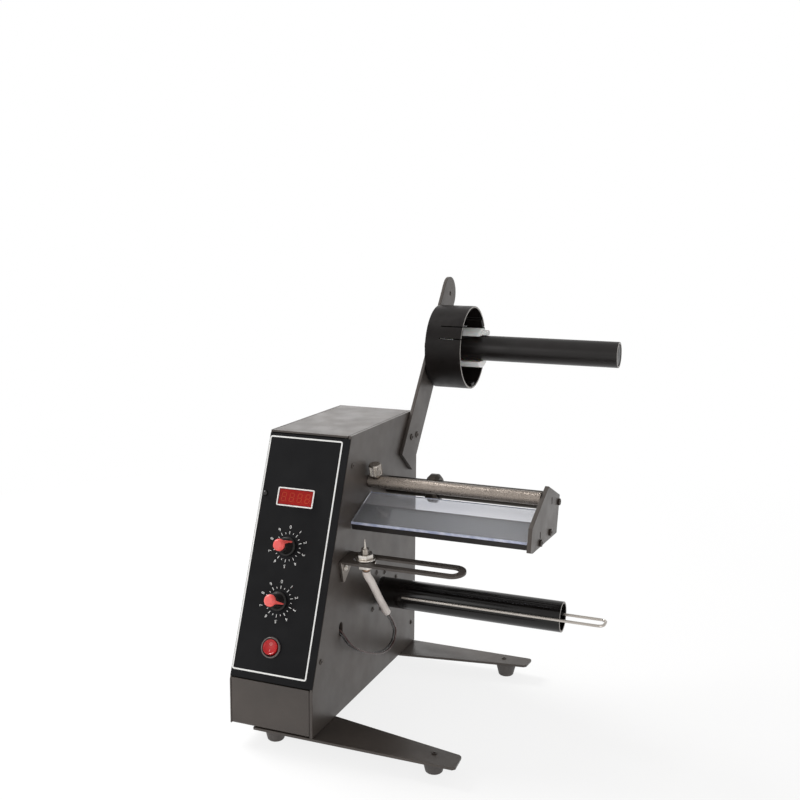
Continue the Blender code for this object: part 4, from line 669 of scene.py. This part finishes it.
def in_machine(route):
    """A route in metres as points in the machine's millimetres."""
    turned = MACHINE.inverted()
    return [turned @ Vector(point) for point in route]


def beside(route, distance):
    """The route moved sideways, turning slowly round the middle line and further off in its middle."""
    shifted = []
    last = len(route) - 1
    for n, point in enumerate(route):
        ahead = route[min(n + 1, last)] - route[max(n - 1, 0)]
        across = ahead.cross(Vector((1, 0, 0))).normalized()
        turn = Matrix.Rotation(math.radians(25 + 110 * n / last), 4, ahead.normalized())
        slack = 1 + 0.35 * math.sin(math.pi * n / last) ** 2
        shifted.append(point + turn @ across * distance * slack)
    return shifted


def make_lead():
    """The lead's two wires, black and brown, and the white sleeve over their upper end."""
    spacing = 1.6
    route = smooth_route(in_machine(LEAD_ROUTE), spacing)
    wires = merged([tube_mesh(beside(route, side * 0.8), 0.72) for side in (1, -1)])
    made = piece(
        "sensor_lead_pair", wires, MACHINE, "lead", replaces=["sensor_lead"], ride=False
    )
    made.data.materials.append(LOOKS["second_lead"])
    faces = made.data.polygons
    for face in faces[len(faces) // 2 :]:
        face.material_index = 1
    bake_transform(made)
    sleeve = merged([tube_mesh(smooth_route(in_machine(SLEEVE_ROUTE), spacing), 3.0)])
    piece("sensor_shrink_sleeve", sleeve, MACHINE, "sleeve", "sensor", ["sensor_sleeve"])


# Housing


def side_outline():
    """The housing's side, set back a little behind the front panel."""
    bend = []
    steps = 12
    for n in range(steps + 1):
        angle = n / steps * math.pi / 2
        y = BODY_DEPTH - REAR_BEND + REAR_BEND * math.cos(angle)
        bend.append((y, BODY_HEIGHT - REAR_BEND + REAR_BEND * math.sin(angle)))
    top = (PANEL_TOP_Y + PANEL_SETBACK / math.cos(LEAN), BODY_HEIGHT)
    crease = (0.0, CREASE_Z - PANEL_SETBACK / math.sin(LEAN))
    return [(0.0, 0.0), (BODY_DEPTH, 0.0), *bend, top, crease]


def make_housing():
    """The two side sheets and the shell folded from one sheet between them."""
    hole = slot_outline(*LEAD_HOLE, 3.15, 11.0, math.pi / 2)
    shaft = circle(*TAKE_UP, 6.3)
    bm = plate_mesh([side_outline(), hole, shaft], -SIDE_SHEET, 0.0, 0.35)
    piece("side_panel", bm, SIDE, "body", replaces=["side_plate"])
    bm = plate_mesh([side_outline()], -BODY_WIDTH, -BODY_WIDTH + COVER_SHEET, 0.3)
    piece("left_panel", bm, SIDE, "body", replaces=["left_cover"])

    sheet = SHELL_SHEET
    centre_y, centre_z = BODY_DEPTH - REAR_BEND, BODY_HEIGHT - REAR_BEND
    bends = []
    for radius in (REAR_BEND, REAR_BEND - sheet):
        angles = [n / 16 * math.pi / 2 for n in range(17)]
        bends.append([(centre_y + radius * math.cos(a), centre_z + radius * math.sin(a)) for a in angles])
    bend_z = centre_z - 1
    outer = fillet([(0.0, CREASE_Z), (0.0, 0.0), (BODY_DEPTH, 0.0), (BODY_DEPTH, bend_z)], 2.4, False)
    back = BODY_DEPTH - sheet
    inner = fillet([(back, bend_z), (back, sheet), (sheet, sheet), (sheet, CREASE_Z)], 0.9, False)
    top = [(PANEL_TOP_Y, BODY_HEIGHT), (PANEL_TOP_Y, BODY_HEIGHT - sheet)]
    outline = outer + bends[0] + top + bends[1][::-1] + inner
    bm = plate_mesh([outline], -BODY_WIDTH + COVER_SHEET + GAP, -SIDE_SHEET - GAP, 0.25)
    shell = piece("folded_shell", bm, SIDE, "body", replaces=["housing_shell"])
    cut(shell, [loose(box_mesh((27.8, 8, 20.4), (-35.0, BODY_DEPTH, 33.0), 0), MACHINE)])


def screw_head(radius, height, edge=0.42):
    """A pan head with a hexagonal socket, on its own Z."""
    socket = circle(0, 0, radius * 0.5, 6)
    ring = plate_mesh([circle(0, 0, radius, 36), socket], 0.05, height, edge)
    floor = plate_mesh([circle(0, 0, radius * 0.8, 24)], 0.02, height * 0.3, 0.0)
    return merged([ring, floor])


def make_screws():
    """Case and motor screws flush in the side panel, leg screws, and the screws of the bar and the table."""
    places = [(70.7, 190.9), (14.7, 54.0), (199.0, 20.0), (162.0, 74.0)]
    circle_radius = 17.5
    for n in range(6):
        angle = math.radians(44 + 60 * n)
        y = TAKE_UP[0] + circle_radius * math.cos(angle)
        places.append((y, TAKE_UP[1] + circle_radius * math.sin(angle)))
    heads = [moved(screw_head(2.1, 0.7, 0.25), FACING_X @ Matrix.Translation((y, z, 0))) for y, z in places]
    made = piece("side_panel_screws", merged(heads), MACHINE, "flush_screw")
    # The socket floors get painted shade
    second_look(made, "socket_shade", lambda middle, normal: middle.x < 0.25 and normal.x > 0.5)
    heads = []
    for x, y in ((90.1, 14.7), (87.6, 199.3)):
        heads.append(moved(screw_head(2.0, 0.6, 0.2), Matrix.Translation((x, y, -0.3))))
    piece("leg_screws", merged(heads), MACHINE, "dark_screw")
    for name, node, (y, z), x, height in (
        ("arm_screw_front", "arm_bolt_front", ARM_SCREWS[0], ARM_FACE_X, 0.9),
        ("arm_screw_rear", "arm_bolt_rear", ARM_SCREWS[1], ARM_FACE_X, 0.9),
        ("table_screw_rear", "end_screw_rear", GUIDE_ROD, END_PLATE_X[1], 1.75),
        ("table_screw_front", "end_screw_front", FRONT_TIE, END_PLATE_X[1], 1.75),
        ("table_screw_lower", "end_screw_lower", LOWER_TIE, END_PLATE_X[1], 1.75),
    ):
        shank = lathe_mesh([(0, 0.02), (1.5, 0.02), (1.5, -7.4), (0, -7.4)], 24)
        bm = merged([screw_head(2.75, height, min(0.42, height / 3)), shank])
        look = "flush_screw" if height < 1 else "dark_screw"
        made = piece(name, bm, SIDE @ Matrix.Translation((y, z, x)), look, replaces=[node])
        limit = x + height * 0.35
        # The socket floor gets painted shade
        second_look(made, "socket_shade", lambda middle, normal: x < middle.x < limit and normal.x > 0.5)


# Control panel


def flat_print(parts, name):
    piece(name, merged(parts), PANEL, "print")


def print_strip(points, width):
    """A closed printed line of even width, inside an outline."""
    inner = []
    count = len(points)
    for index in range(count):
        before = Vector(points[index]) - Vector(points[index - 1])
        after = Vector(points[(index + 1) % count]) - Vector(points[index])
        normal = (before.normalized() + after.normalized()).normalized()
        inner.append((points[index][0] - normal.y * width, points[index][1] + normal.x * width))
    return plate_mesh([points, inner], 0.0, PRINT_HEIGHT, 0.0)


def digit_mesh(text, size, x, v, turn):
    """A printed digit about its middle."""
    curve = bpy.data.curves.new("digit", "FONT")
    curve.body = text
    curve.size = size
    curve.align_x = "CENTER"
    curve.align_y = "CENTER"
    curve.extrude = PRINT_HEIGHT / 2
    bm = mesh_of(curve)
    return moved(bm, Matrix.Translation((x, v, PRINT_HEIGHT / 2)) @ Matrix.Rotation(turn, 4, "Z"))


def dial_print(v, name):
    """Digits 0 to 9 clockwise from the top, a long mark at each and a short one between."""
    parts = []
    radius, size = 14.8, 3.5
    for n in range(20):
        turn = -n * math.pi / 10
        low, high = (9.6, 11.9) if n % 2 == 0 else (9.8, 11.0)
        mark = box_mesh((0.42, high - low, PRINT_HEIGHT), (0, (low + high) / 2, PRINT_HEIGHT / 2), 0)
        parts.append(moved(mark, Matrix.Translation((CONTROL_X, v, 0)) @ Matrix.Rotation(turn, 4, "Z")))
        if n % 2 == 0:
            x = CONTROL_X - radius * math.sin(turn)
            parts.append(digit_mesh(str(n // 2), size, x, v + radius * math.cos(turn), turn))
    flat_print(parts, name)


def make_panel():
    """The printed film with its line and dials, and the counter."""
    left, right, low, high = -BODY_WIDTH + GAP, -GAP, 1.0, SLOPE - 2.2
    outline = [(left, low), (right, low), (right, high), (left, high)]
    counter = [(-52.9, 133.0), (-23.7, 133.0), (-23.7, 145.5), (-52.9, 145.5)]
    holes = [
        counter,
        circle(CONTROL_X, LENGTH_V, 3.8),
        circle(CONTROL_X, SPEED_V, 3.8),
        circle(CONTROL_X, SWITCH_V, 7.5),
        circle(*RESET_PLACE, 2.2),
    ]
    bm = plate_mesh([outline, *holes], -0.4, 0.0, 0.08)
    piece("printed_panel", bm, PANEL, "film", replaces=["panel_overlay"])
    border = fillet([(-68.8, 6.2), (-6.2, 6.2), (-6.2, 186.0), (-68.8, 186.0)], 2.2, steps=6)
    flat_print([print_strip(border, 1.15)], "panel_border")
    dial_print(LENGTH_V, "length_scale")
    dial_print(SPEED_V, "speed_scale")

    frame_outer = fillet([(-53.8, 132.1), (-22.8, 132.1), (-22.8, 146.4), (-53.8, 146.4)], 1.3)
    frame_inner = fillet([(-52.8, 133.1), (-23.8, 133.1), (-23.8, 145.4), (-52.8, 145.4)], 0.5)
    bm = plate_mesh([frame_outer, frame_inner], 0.3, 1.3, 0.3)
    piece("counter_bezel", bm, PANEL, "frame", replaces=["counter_frame"])
    bm = box_mesh((28.6, 11.9, 2.4), (-38.3, 139.25, -0.8), 0.3)
    piece("counter_glass", bm, PANEL, "window", replaces=["counter_window"])
    digits = []
    for n in range(4):
        digits.append(moved(seven_segments(-48.4 + 6.75 * n, 139.25), Matrix.Translation((0, 0, 0.4))))
    piece("counter_digits", merged(digits), PANEL, "segment")


def seven_segments(x, v):
    """All seven segments of one unlit digit and its point, leaning a little."""
    parts = []
    width, height, stroke, thickness = 3.4, 6.6, 0.62, 0.05
    middle = thickness / 2
    for level in (-1, 0, 1):
        size = (width - 1.2 * stroke, stroke, thickness)
        parts.append(box_mesh(size, (0, level * height / 2, middle), 0))
    for side in (-1, 1):
        for level in (-1, 1):
            centre = (side * width / 2, level * height / 4, middle)
            parts.append(box_mesh((stroke, height / 2 - 1.2 * stroke, thickness), centre, 0))
    point = (width / 2 + 1.0, -height / 2, middle)
    parts.append(box_mesh((stroke, stroke, thickness), point, 0))
    slant = Matrix.Identity(4)
    slant[0][1] = 0.1
    return moved(merged(parts), Matrix.Translation((x, v, 0)) @ slant)


def make_knob(name, body, v, degrees):
    """Black pointer knob: a skirt, a cone with flutes, and a red cap whose fin runs down to the skirt."""
    here = PANEL @ Matrix.Translation((CONTROL_X, v, 0))
    here = here @ Matrix.Rotation(-math.radians(degrees), 4, "Z")
    profile = [(0, 12.6), (5.0, 12.6), (6.0, 2.7), (7.2, 2.3), (7.2, 0.6), (3.4, 0.6), (3.4, 9.4), (0, 9.4)]
    skirt = lathe_mesh(fillet(profile, 0.35, False), 96)
    ribs = []
    for n in range(18):
        if n in (0, 1, 17):
            continue
        turn = Matrix.Rotation(n * math.pi / 9, 4, "Z")
        rib = box_mesh((0.8, 1.1, 8.6), (0, 5.2, 7.4), 0.25)
        ribs.append(moved(rib, turn @ Matrix.Rotation(math.radians(5), 4, "X")))
    piece(name + "_skirt", merged([skirt, *ribs]), here, "black_plastic", body, [name])
    cap = fillet([(0, 17.1), (3.2, 17.1), (4.5, 15.4), (4.6, 12.9), (0, 12.9)], 1.1, False)
    fin = [(1.0, 16.3), (4.4, 15.7), (6.1, 10.4), (7.0, 6.4)]
    fin += [(7.0, 4.6), (6.2, 4.6), (5.3, 12.9), (1.0, 12.9)]
    blade = plate_mesh([fillet(fin, 0.5)], -1.9, 1.9, 0.4)
    for vertex in blade.verts:
        vertex.co.z *= 1 - 0.8 * min(1, max(0, (vertex.co.x - 3.4) / 3.6))
    bm = merged([lathe_mesh(cap, 64), moved(blade, FACING_X)])
    piece(name + "_cap", bm, here, "red_plastic", body, [name + "_pointer"])


def make_switch():
    """The round rocker switch with its marks, and the reset button."""
    here = PANEL @ Matrix.Translation((CONTROL_X, SWITCH_V, 0))
    ring = [(6.5, 1.2), (7.0, 1.9), (7.7, 1.7), (8.0, 0.9), (8.0, 0.3), (7.2, 0.3), (7.2, -16), (0, -16)]
    profile = [(0, -7), (6.5, -7), *fillet(ring, 0.25, False)]
    piece("switch_bezel", lathe_mesh(profile), here, "ring", replaces=["switch_body"])
    tilt = here @ Matrix.Translation((0, 0, -1.0)) @ Matrix.Rotation(math.radians(-7), 4, "X")
    dish = [(0, 2.4), (2.5, 2.5), (4.6, 2.9), (5.3, 3.5), (5.8, 3.3), (5.8, -1.6), (0, -1.6)]
    bm = lathe_mesh(fillet(dish, 0.3, False), 72)
    piece("switch_key", bm, tilt, "rocker", "rocker", ["switch_rocker"])
    ring = plate_mesh([circle(0, 0, 1.1, 32), circle(0, 0, 0.75, 32)], 0.0, 0.12, 0)
    marks = [box_mesh((0.4, 1.8, 0.1), (0, -2.6, 2.6), 0), moved(ring, Matrix.Translation((0, 2.3, 2.52)))]
    piece("switch_marks", merged(marks), tilt, "rocker_mark", "rocker")
    button = [(0, 1.2), (1.3, 1.2), (1.8, 0.8), (1.8, -2.5), (2.6, -2.5), (2.6, -3.4), (0, -3.4)]
    here = PANEL @ Matrix.Translation((*RESET_PLACE, 0))
    piece("reset_key", lathe_mesh(button, 40), here, "black_plastic", "reset", ["reset_button"])


# Arm and roll holder


def make_arm():
    """The leaning bar with its round tip, a square foot and four holes."""
    along = Vector((math.sin(ARM_LEAN), math.cos(ARM_LEAN)))
    across = Vector((math.cos(ARM_LEAN), -math.sin(ARM_LEAN)))
    tip = Vector(ARM_TIP)
    half = ARM_HALF_WIDTH
    points = []
    steps = 40
    for n in range(steps + 1):
        angle = math.pi * n / steps
        points.append(tuple(tip + across * half * math.cos(angle) + along * half * math.sin(angle)))
    foot = tip - along * ARM_LENGTH
    sides = [tip - across * half, foot - across * half, foot + across * half, tip + across * half]
    points += fillet([tuple(corner) for corner in sides], 1.2, False)[1:-1]
    screws = [circle(*screw, 1.8, 24) for screw in ARM_SCREWS]
    holes = [circle(*tip, 2.0, 24), *screws, circle(*SPOOL, 4.3, 32)]
    bm = plate_mesh([points, *holes], GAP, ARM_FACE_X, 0.35)
    piece("arm_bar", bm, SIDE, "body", replaces=["roll_arm"])


def make_spool():
    """The drum with its three slit tongues, the split hub, and the tube with its cap."""
    here = along_x(*SPOOL)
    wall = [(DRUM_RADIUS, 37.7), (DRUM_RADIUS, 5.0), (6.3, 5.0), (6.3, 7.0), (35.4, 7.0), (35.4, 37.7)]
    bm = lathe_mesh(fillet(wall, 0.35, steps=3), 144, True)
    drum = piece("core_ring", bm, here, "drum", "supply", ["core_drum"])
    cutters = []
    pads = []
    spread = TONGUE_WIDTH / 2 / DRUM_RADIUS
    for n in range(3):
        middle = TONGUE_TURN + n * 2 * math.pi / 3
        for angle in (-spread, spread):
            bm = box_mesh((6, 1.1, 24), (36.2, 0, 29.7), 0)
            cutters.append(loose(moved(bm, Matrix.Rotation(middle + angle, 4, "Z")), here))
        pad = box_mesh((3.3, 8.5, 15.2), (33.85, 0, 29.6), 0.5)
        pads.append(moved(pad, Matrix.Rotation(middle, 4, "Z")))
    cut(drum, cutters)
    # The drum's open rim gets a painted rim highlight
    second_look(drum, "rim_highlight", lambda middle, normal: middle.x > 37.3 and normal.x > 0.3)
    piece("core_tongue_pads", merged(pads), here, "drum", "supply")

    profile = [(17.5, 47.0), (17.5, 26.5), (13.2, 26.5), (13.2, 7.3)]
    profile += [(6.3, 7.3), (6.3, 15.3), (11.5, 15.3), (11.5, 47.0)]
    hub = lathe_mesh(fillet(profile, 1.3, steps=5), 96, True)
    hub = piece("nylon_hub", hub, here, "nylon", "supply", ["drum_hub"])
    cut(hub, [loose(box_mesh((23.0, 40, 27.5), (0, 0, 35.25), 0), here)])
    lug = box_mesh((4.4, 7.0, 7.3), (-13.7, 0, 48.65), 1.3)
    piece("hub_lug", lug, here, "nylon", "supply")
    tube = fillet([(11.2, 168.3), (11.2, 15.6), (9.4, 15.6), (9.4, 168.3)], 0.3)
    tube = lathe_mesh(tube, 96, True)
    made = piece("roll_tube", tube, here, "anodised", "supply", ["supply_tube"])
    # The tube's far end gets a painted rim highlight
    second_look(made, "rim_highlight", lambda middle, normal: middle.x > 168.0 and normal.x > 0.3)
    cap = [(0, 167.9), (8.6, 167.9), (9.1, 167.4), (9.1, 142.3), (6.3, 142.3), (6.3, 156.3), (0, 156.3)]
    bm = lathe_mesh(fillet(cap, 0.3, False), 72)
    piece("roll_tube_cap", bm, here, "black_plastic", "supply", ["tube_cap"])


# Peel table


def rod_profile(radius, edge):
    """A rod from the side plate to the end plate, with the spigot that is riveted in the side plate."""
    end, spigot = ROD_END_X, 2.0
    profile = [(0, end), (radius, end), (radius, GAP), (spigot, GAP), (spigot, -SIDE_SHEET), (0, -SIDE_SHEET)]
    return fillet(profile, edge, False)


def make_table():
    """The clear sheet over its black channel, the end plate, and the rods and bars between the plates."""
    bm = box_mesh((140.0, 41.7, 2.5), (70.7, 20.85, -1.25), 0.25)
    made = piece("peel_sheet", bm, TABLE, "acrylic", replaces=["peel_plate"])
    up = (TABLE.to_3x3() @ Vector((0, 0, 1))).normalized()
    second_look(made, "acrylic_edge", lambda _, normal: abs(normal.dot(up)) < 0.9 and abs(normal.x) < 0.9)
    channel = [(0, -2.8), (0, -7.3), (1.5, -7.3), (1.5, -4.3), (26.5, -4.3), (26.5, -2.8)]
    rib = [(18.3, -4.0), (18.3, -10.5), (19.8, -10.5), (19.8, -4.0)]
    bm = merged([plate_mesh([channel], 0.7, ROD_END_X, 0.2), plate_mesh([rib], 0.7, ROD_END_X, 0.1)])
    piece("peel_channel", bm, TABLE @ FACING_X, "black_paint", replaces=["peel_support"])

    outline = [(66.0, 158.8), (112.0, 179.9), (148.6, 165.0), (141.5, 135.8), (68.6, 139.5), (62.2, 141.5)]
    holes = [slot_outline(y, z, 1.1, 5.5, math.pi / 2) for y, z in ((122.8, 166.3), (89.3, 147.8))]
    bm = plate_mesh([fillet(outline, 0.8), *holes], *END_PLATE_X, 0.3)
    piece("table_end", bm, SIDE, "body", replaces=["end_plate"])
    for name, axis in (("front_tie_bar", FRONT_TIE), ("lower_tie_bar", LOWER_TIE)):
        bm = lathe_mesh(rod_profile(3.0, 0.3), 48)
        piece(name + "_turned", bm, along_x(*axis), "black_paint", replaces=[name])

    end = ROD_END_X
    profile = fillet([(0, end), (5.0, end), (5.0, GAP), (3.3, GAP), (3.3, 16.3), (0, 16.3)], 0.3, False)
    here = along_x(*PRESSING_ROD)
    bm = lathe_mesh(profile, 96)
    rod = piece("pressing_rod", bm, here, "knurl", replaces=["knurled_rod"])
    cut(rod, [loose(lathe_mesh([(0, 8), (1.8, 8), (1.8, 0), (0, 0)], 32), THUMB)])
    here = along_x(*GUIDE_ROD)
    bm = lathe_mesh(rod_profile(7.3, 0.4), 96)
    piece("guide_rod", bm, here, "guide", replaces=["rear_guide_rod"])
    profile = fillet([(10.0, 45.9), (12.5, 43.4), (12.5, 38.0), (10.0, 35.5), (7.6, 35.5), (7.6, 45.9)], 0.4)
    collar = lathe_mesh(profile, 96, True)
    piece("edge_collar", collar, here, "guide", "collar", ["guide_collar"])
    make_thumb_screw()


def make_thumb_screw():
    """Thumb screw with a knurled rim between two smooth bands."""
    profile = [(0, 15.8), (4.4, 15.8), (4.9, 15.3), (4.9, 14.6), (5.0, 14.5), (5.0, 7.0)]
    profile += [(4.6, 6.6), (4.0, 5.3), (1.5, 5.3), (1.5, 3.3), (0, 3.3)]
    core = lathe_mesh(profile, 72)
    teeth = []
    count = 44
    for n in range(count):
        tooth = box_mesh((0.36, 0.36, 7.6), (0, 0, 10.8), 0)
        turn = Matrix.Rotation(2 * math.pi * n / count, 4, "Z") @ Matrix.Translation((4.97, 0, 0))
        teeth.append(moved(tooth, turn @ Matrix.Rotation(math.pi / 4, 4, "Z")))
    piece("thumb_knob", merged([core, *teeth]), THUMB, "steel", "thumb", ["thumb_screw"])


# Sensor bracket and sensor


def make_sensor():
    """The slotted strip with its pointed tab, and the threaded sensor clamped in the slot by two nuts."""
    half, end, steps = 10.65, 97.5, 32
    outline = [(GAP, half), (GAP, -half)]
    for n in range(steps + 1):
        angle = -math.pi / 2 + math.pi * n / steps
        outline.append((end - half + half * math.cos(angle), half * math.sin(angle)))
    strip = slot_outline(49.95, 0.0, 5.05, 83.9)
    loop = plate_mesh([outline, strip], -1.0, 1.0, 0.3)
    corners = fillet([(-11.8, 0.9), (11.8, 0.9), (11.8, -5.0), (-6.2, -16.6), (-8.8, -16.6)], 0.6)
    tab = moved(plate_mesh([corners], GAP, 2.3, 0.25), FACING_X)
    bm = merged([loop, tab])
    made = piece("slotted_bracket", bm, BRACKET, "body", replaces=["sensor_bracket"])
    # The tab's outer face, which faces +X, gets the lighter paint: a painted sheen
    second_look(made, "painted_sheen_coat", lambda at, normal: at.x < 4 and at.z < 120.5 and normal.x > 0.9)
    head = moved(screw_head(2.7, 1.2), FACING_X @ Matrix.Translation((-5.2, -6.0, 2.3)))
    piece("bracket_screw", head, BRACKET, "nickel")

    here = BRACKET @ Matrix.Translation((SENSOR_X, 0, 0))
    thread = [(0, 17.5), (0.45, 17.4), (0.75, 11.2), (1.6, 10.4), (2.0, 9.9)]
    z = 9.8
    while z > -6.0:
        thread += [(2.95, z), (2.6, z - 0.4)]
        z -= 0.8
    thread += [(SENSOR_RADIUS, -6.2), (SENSOR_RADIUS, -8.0), (0, -8.0)]
    bm = lathe_mesh(thread, 48)
    barrel = piece("sensor_thread", bm, here, "steel", "sensor", ["sensor_barrel"], angle=50)
    second_look(barrel, "brass", lambda middle, _: middle.z < 115.9)
    for name, side in (("sensor_top_nut", 1), ("sensor_lower_nut", -1)):
        washer = plate_mesh([circle(0, 0, 7.8), circle(0, 0, 3.3)], 1.3, 2.3, 0.25)
        nut = plate_mesh([circle(0, 0, 6.35, 6), circle(0, 0, 3.3)], 2.4, 5.8, 0.4)
        flip = Matrix.Identity(4) if side > 0 else Matrix.Rotation(math.pi, 4, "X")
        piece(name + "_hex", merged([washer, nut]), here @ flip, "nickel", "sensor", [name])


# Take-up


def make_take_up():
    """The tube that winds up the empty liner, and the bent wire that clips the liner to it."""
    here = along_x(*TAKE_UP)
    tube = fillet([(12.0, 155.5), (12.0, 4.8), (10.5, 4.8), (10.5, 155.5)], 0.3)
    tube = lathe_mesh(tube, 96, True)
    made = piece("spool_tube", tube, here, "gloss", "take_up", ["take_up_tube"])
    # The tube's far end gets a painted rim highlight
    second_look(made, "rim_highlight", lambda middle, normal: middle.x > 155.2 and normal.x > 0.3)
    front, back, tip, z, bend = 110.6, 124.6, 189.4, 76.0, 4.5
    route = [(26.0, front, z)]
    for y, first in ((front + bend, -90), (back - bend, 0)):
        for n in range(9):
            angle = math.radians(first + 90 * n / 8)
            route.append((tip - bend + bend * math.cos(angle), y + bend * math.sin(angle), z))
    route.append((26.8, back, z))
    bm = tube_mesh(route, 1.1, 4)
    piece("clip_wire", bm, MACHINE, "wire", "clip", ["take_up_clip"], angle=50)


# Legs and feet


def make_legs():
    """Two flat tapered legs under the housing, each with two rubber feet."""
    for name, node, front, root, end in (
        ("front_base_leg", "front_leg", True, 41.0, 20.0),
        ("rear_base_leg", "rear_leg", False, 34.5, 16.5),
    ):
        points = [(-50, 0), (108.5, 0), (110.5, 2), (109.5, end - 2), (107.5, end), (0, root), (-50, root)]
        outline = points if front else [(x, BODY_DEPTH - y) for x, y in points]
        bm = plate_mesh([fillet(outline, 1.0)], -2.3, -0.3, 0.25)
        piece(name, bm, MACHINE, "body", replaces=[node])
    profile = [(0, -2.6), (8.9, -2.6), (8.9, -4.0), (6.4, -13.8), (5.6, -14.6), (0, -14.6)]
    for node, x, y in (
        ("foot_front_right", 89.5, 16),
        ("foot_front_left", -39.0, 16),
        ("foot_rear_right", 89.5, 200),
        ("foot_rear_left", -39.0, 200),
    ):
        bm = lathe_mesh(fillet(profile, 0.6, False), 64)
        matrix = MACHINE @ Matrix.Translation((x, y, 0))
        piece(node + "_rubber", bm, matrix, "rubber", replaces=[node])


# Looks of the CAD nodes that no piece replaces
KEPT = {
    "black_paint": ["front_panel"],
    "board": ["display_board", "control_board"],
    "grey_cast": ["length_potentiometer", "speed_potentiometer", "transformer", "gearbox", "motor"],
    "black_plastic": ["power_inlet", "drive_hub"],
    "steel": ["drive_shaft", "supply_axle", "axle_nut", "rod_stub"],
}


def dress_kept_nodes():
    """Materials and slightly eased edges for the CAD nodes that no piece replaces."""
    for name, look in [(name, look) for look, names in KEPT.items() for name in names]:
        mesh = NODES[name].data
        mesh.materials.clear()
        mesh.materials.append(LOOKS[look])
        bevel = NODES[name].modifiers.new("edge", "BEVEL")
        bevel.width = 0.0003
        bevel.segments = 2
        bevel.limit_method = "ANGLE"
        bevel.angle_limit = math.radians(40)


make_camera()
make_studio()
make_lead()
make_housing()
make_screws()
make_panel()
make_knob("length_knob", "length", LENGTH_V, 54)
make_knob("speed_knob", "speed", SPEED_V, 100)
make_switch()
make_arm()
make_spool()
make_table()
make_sensor()
make_take_up()
make_legs()
dress_kept_nodes()
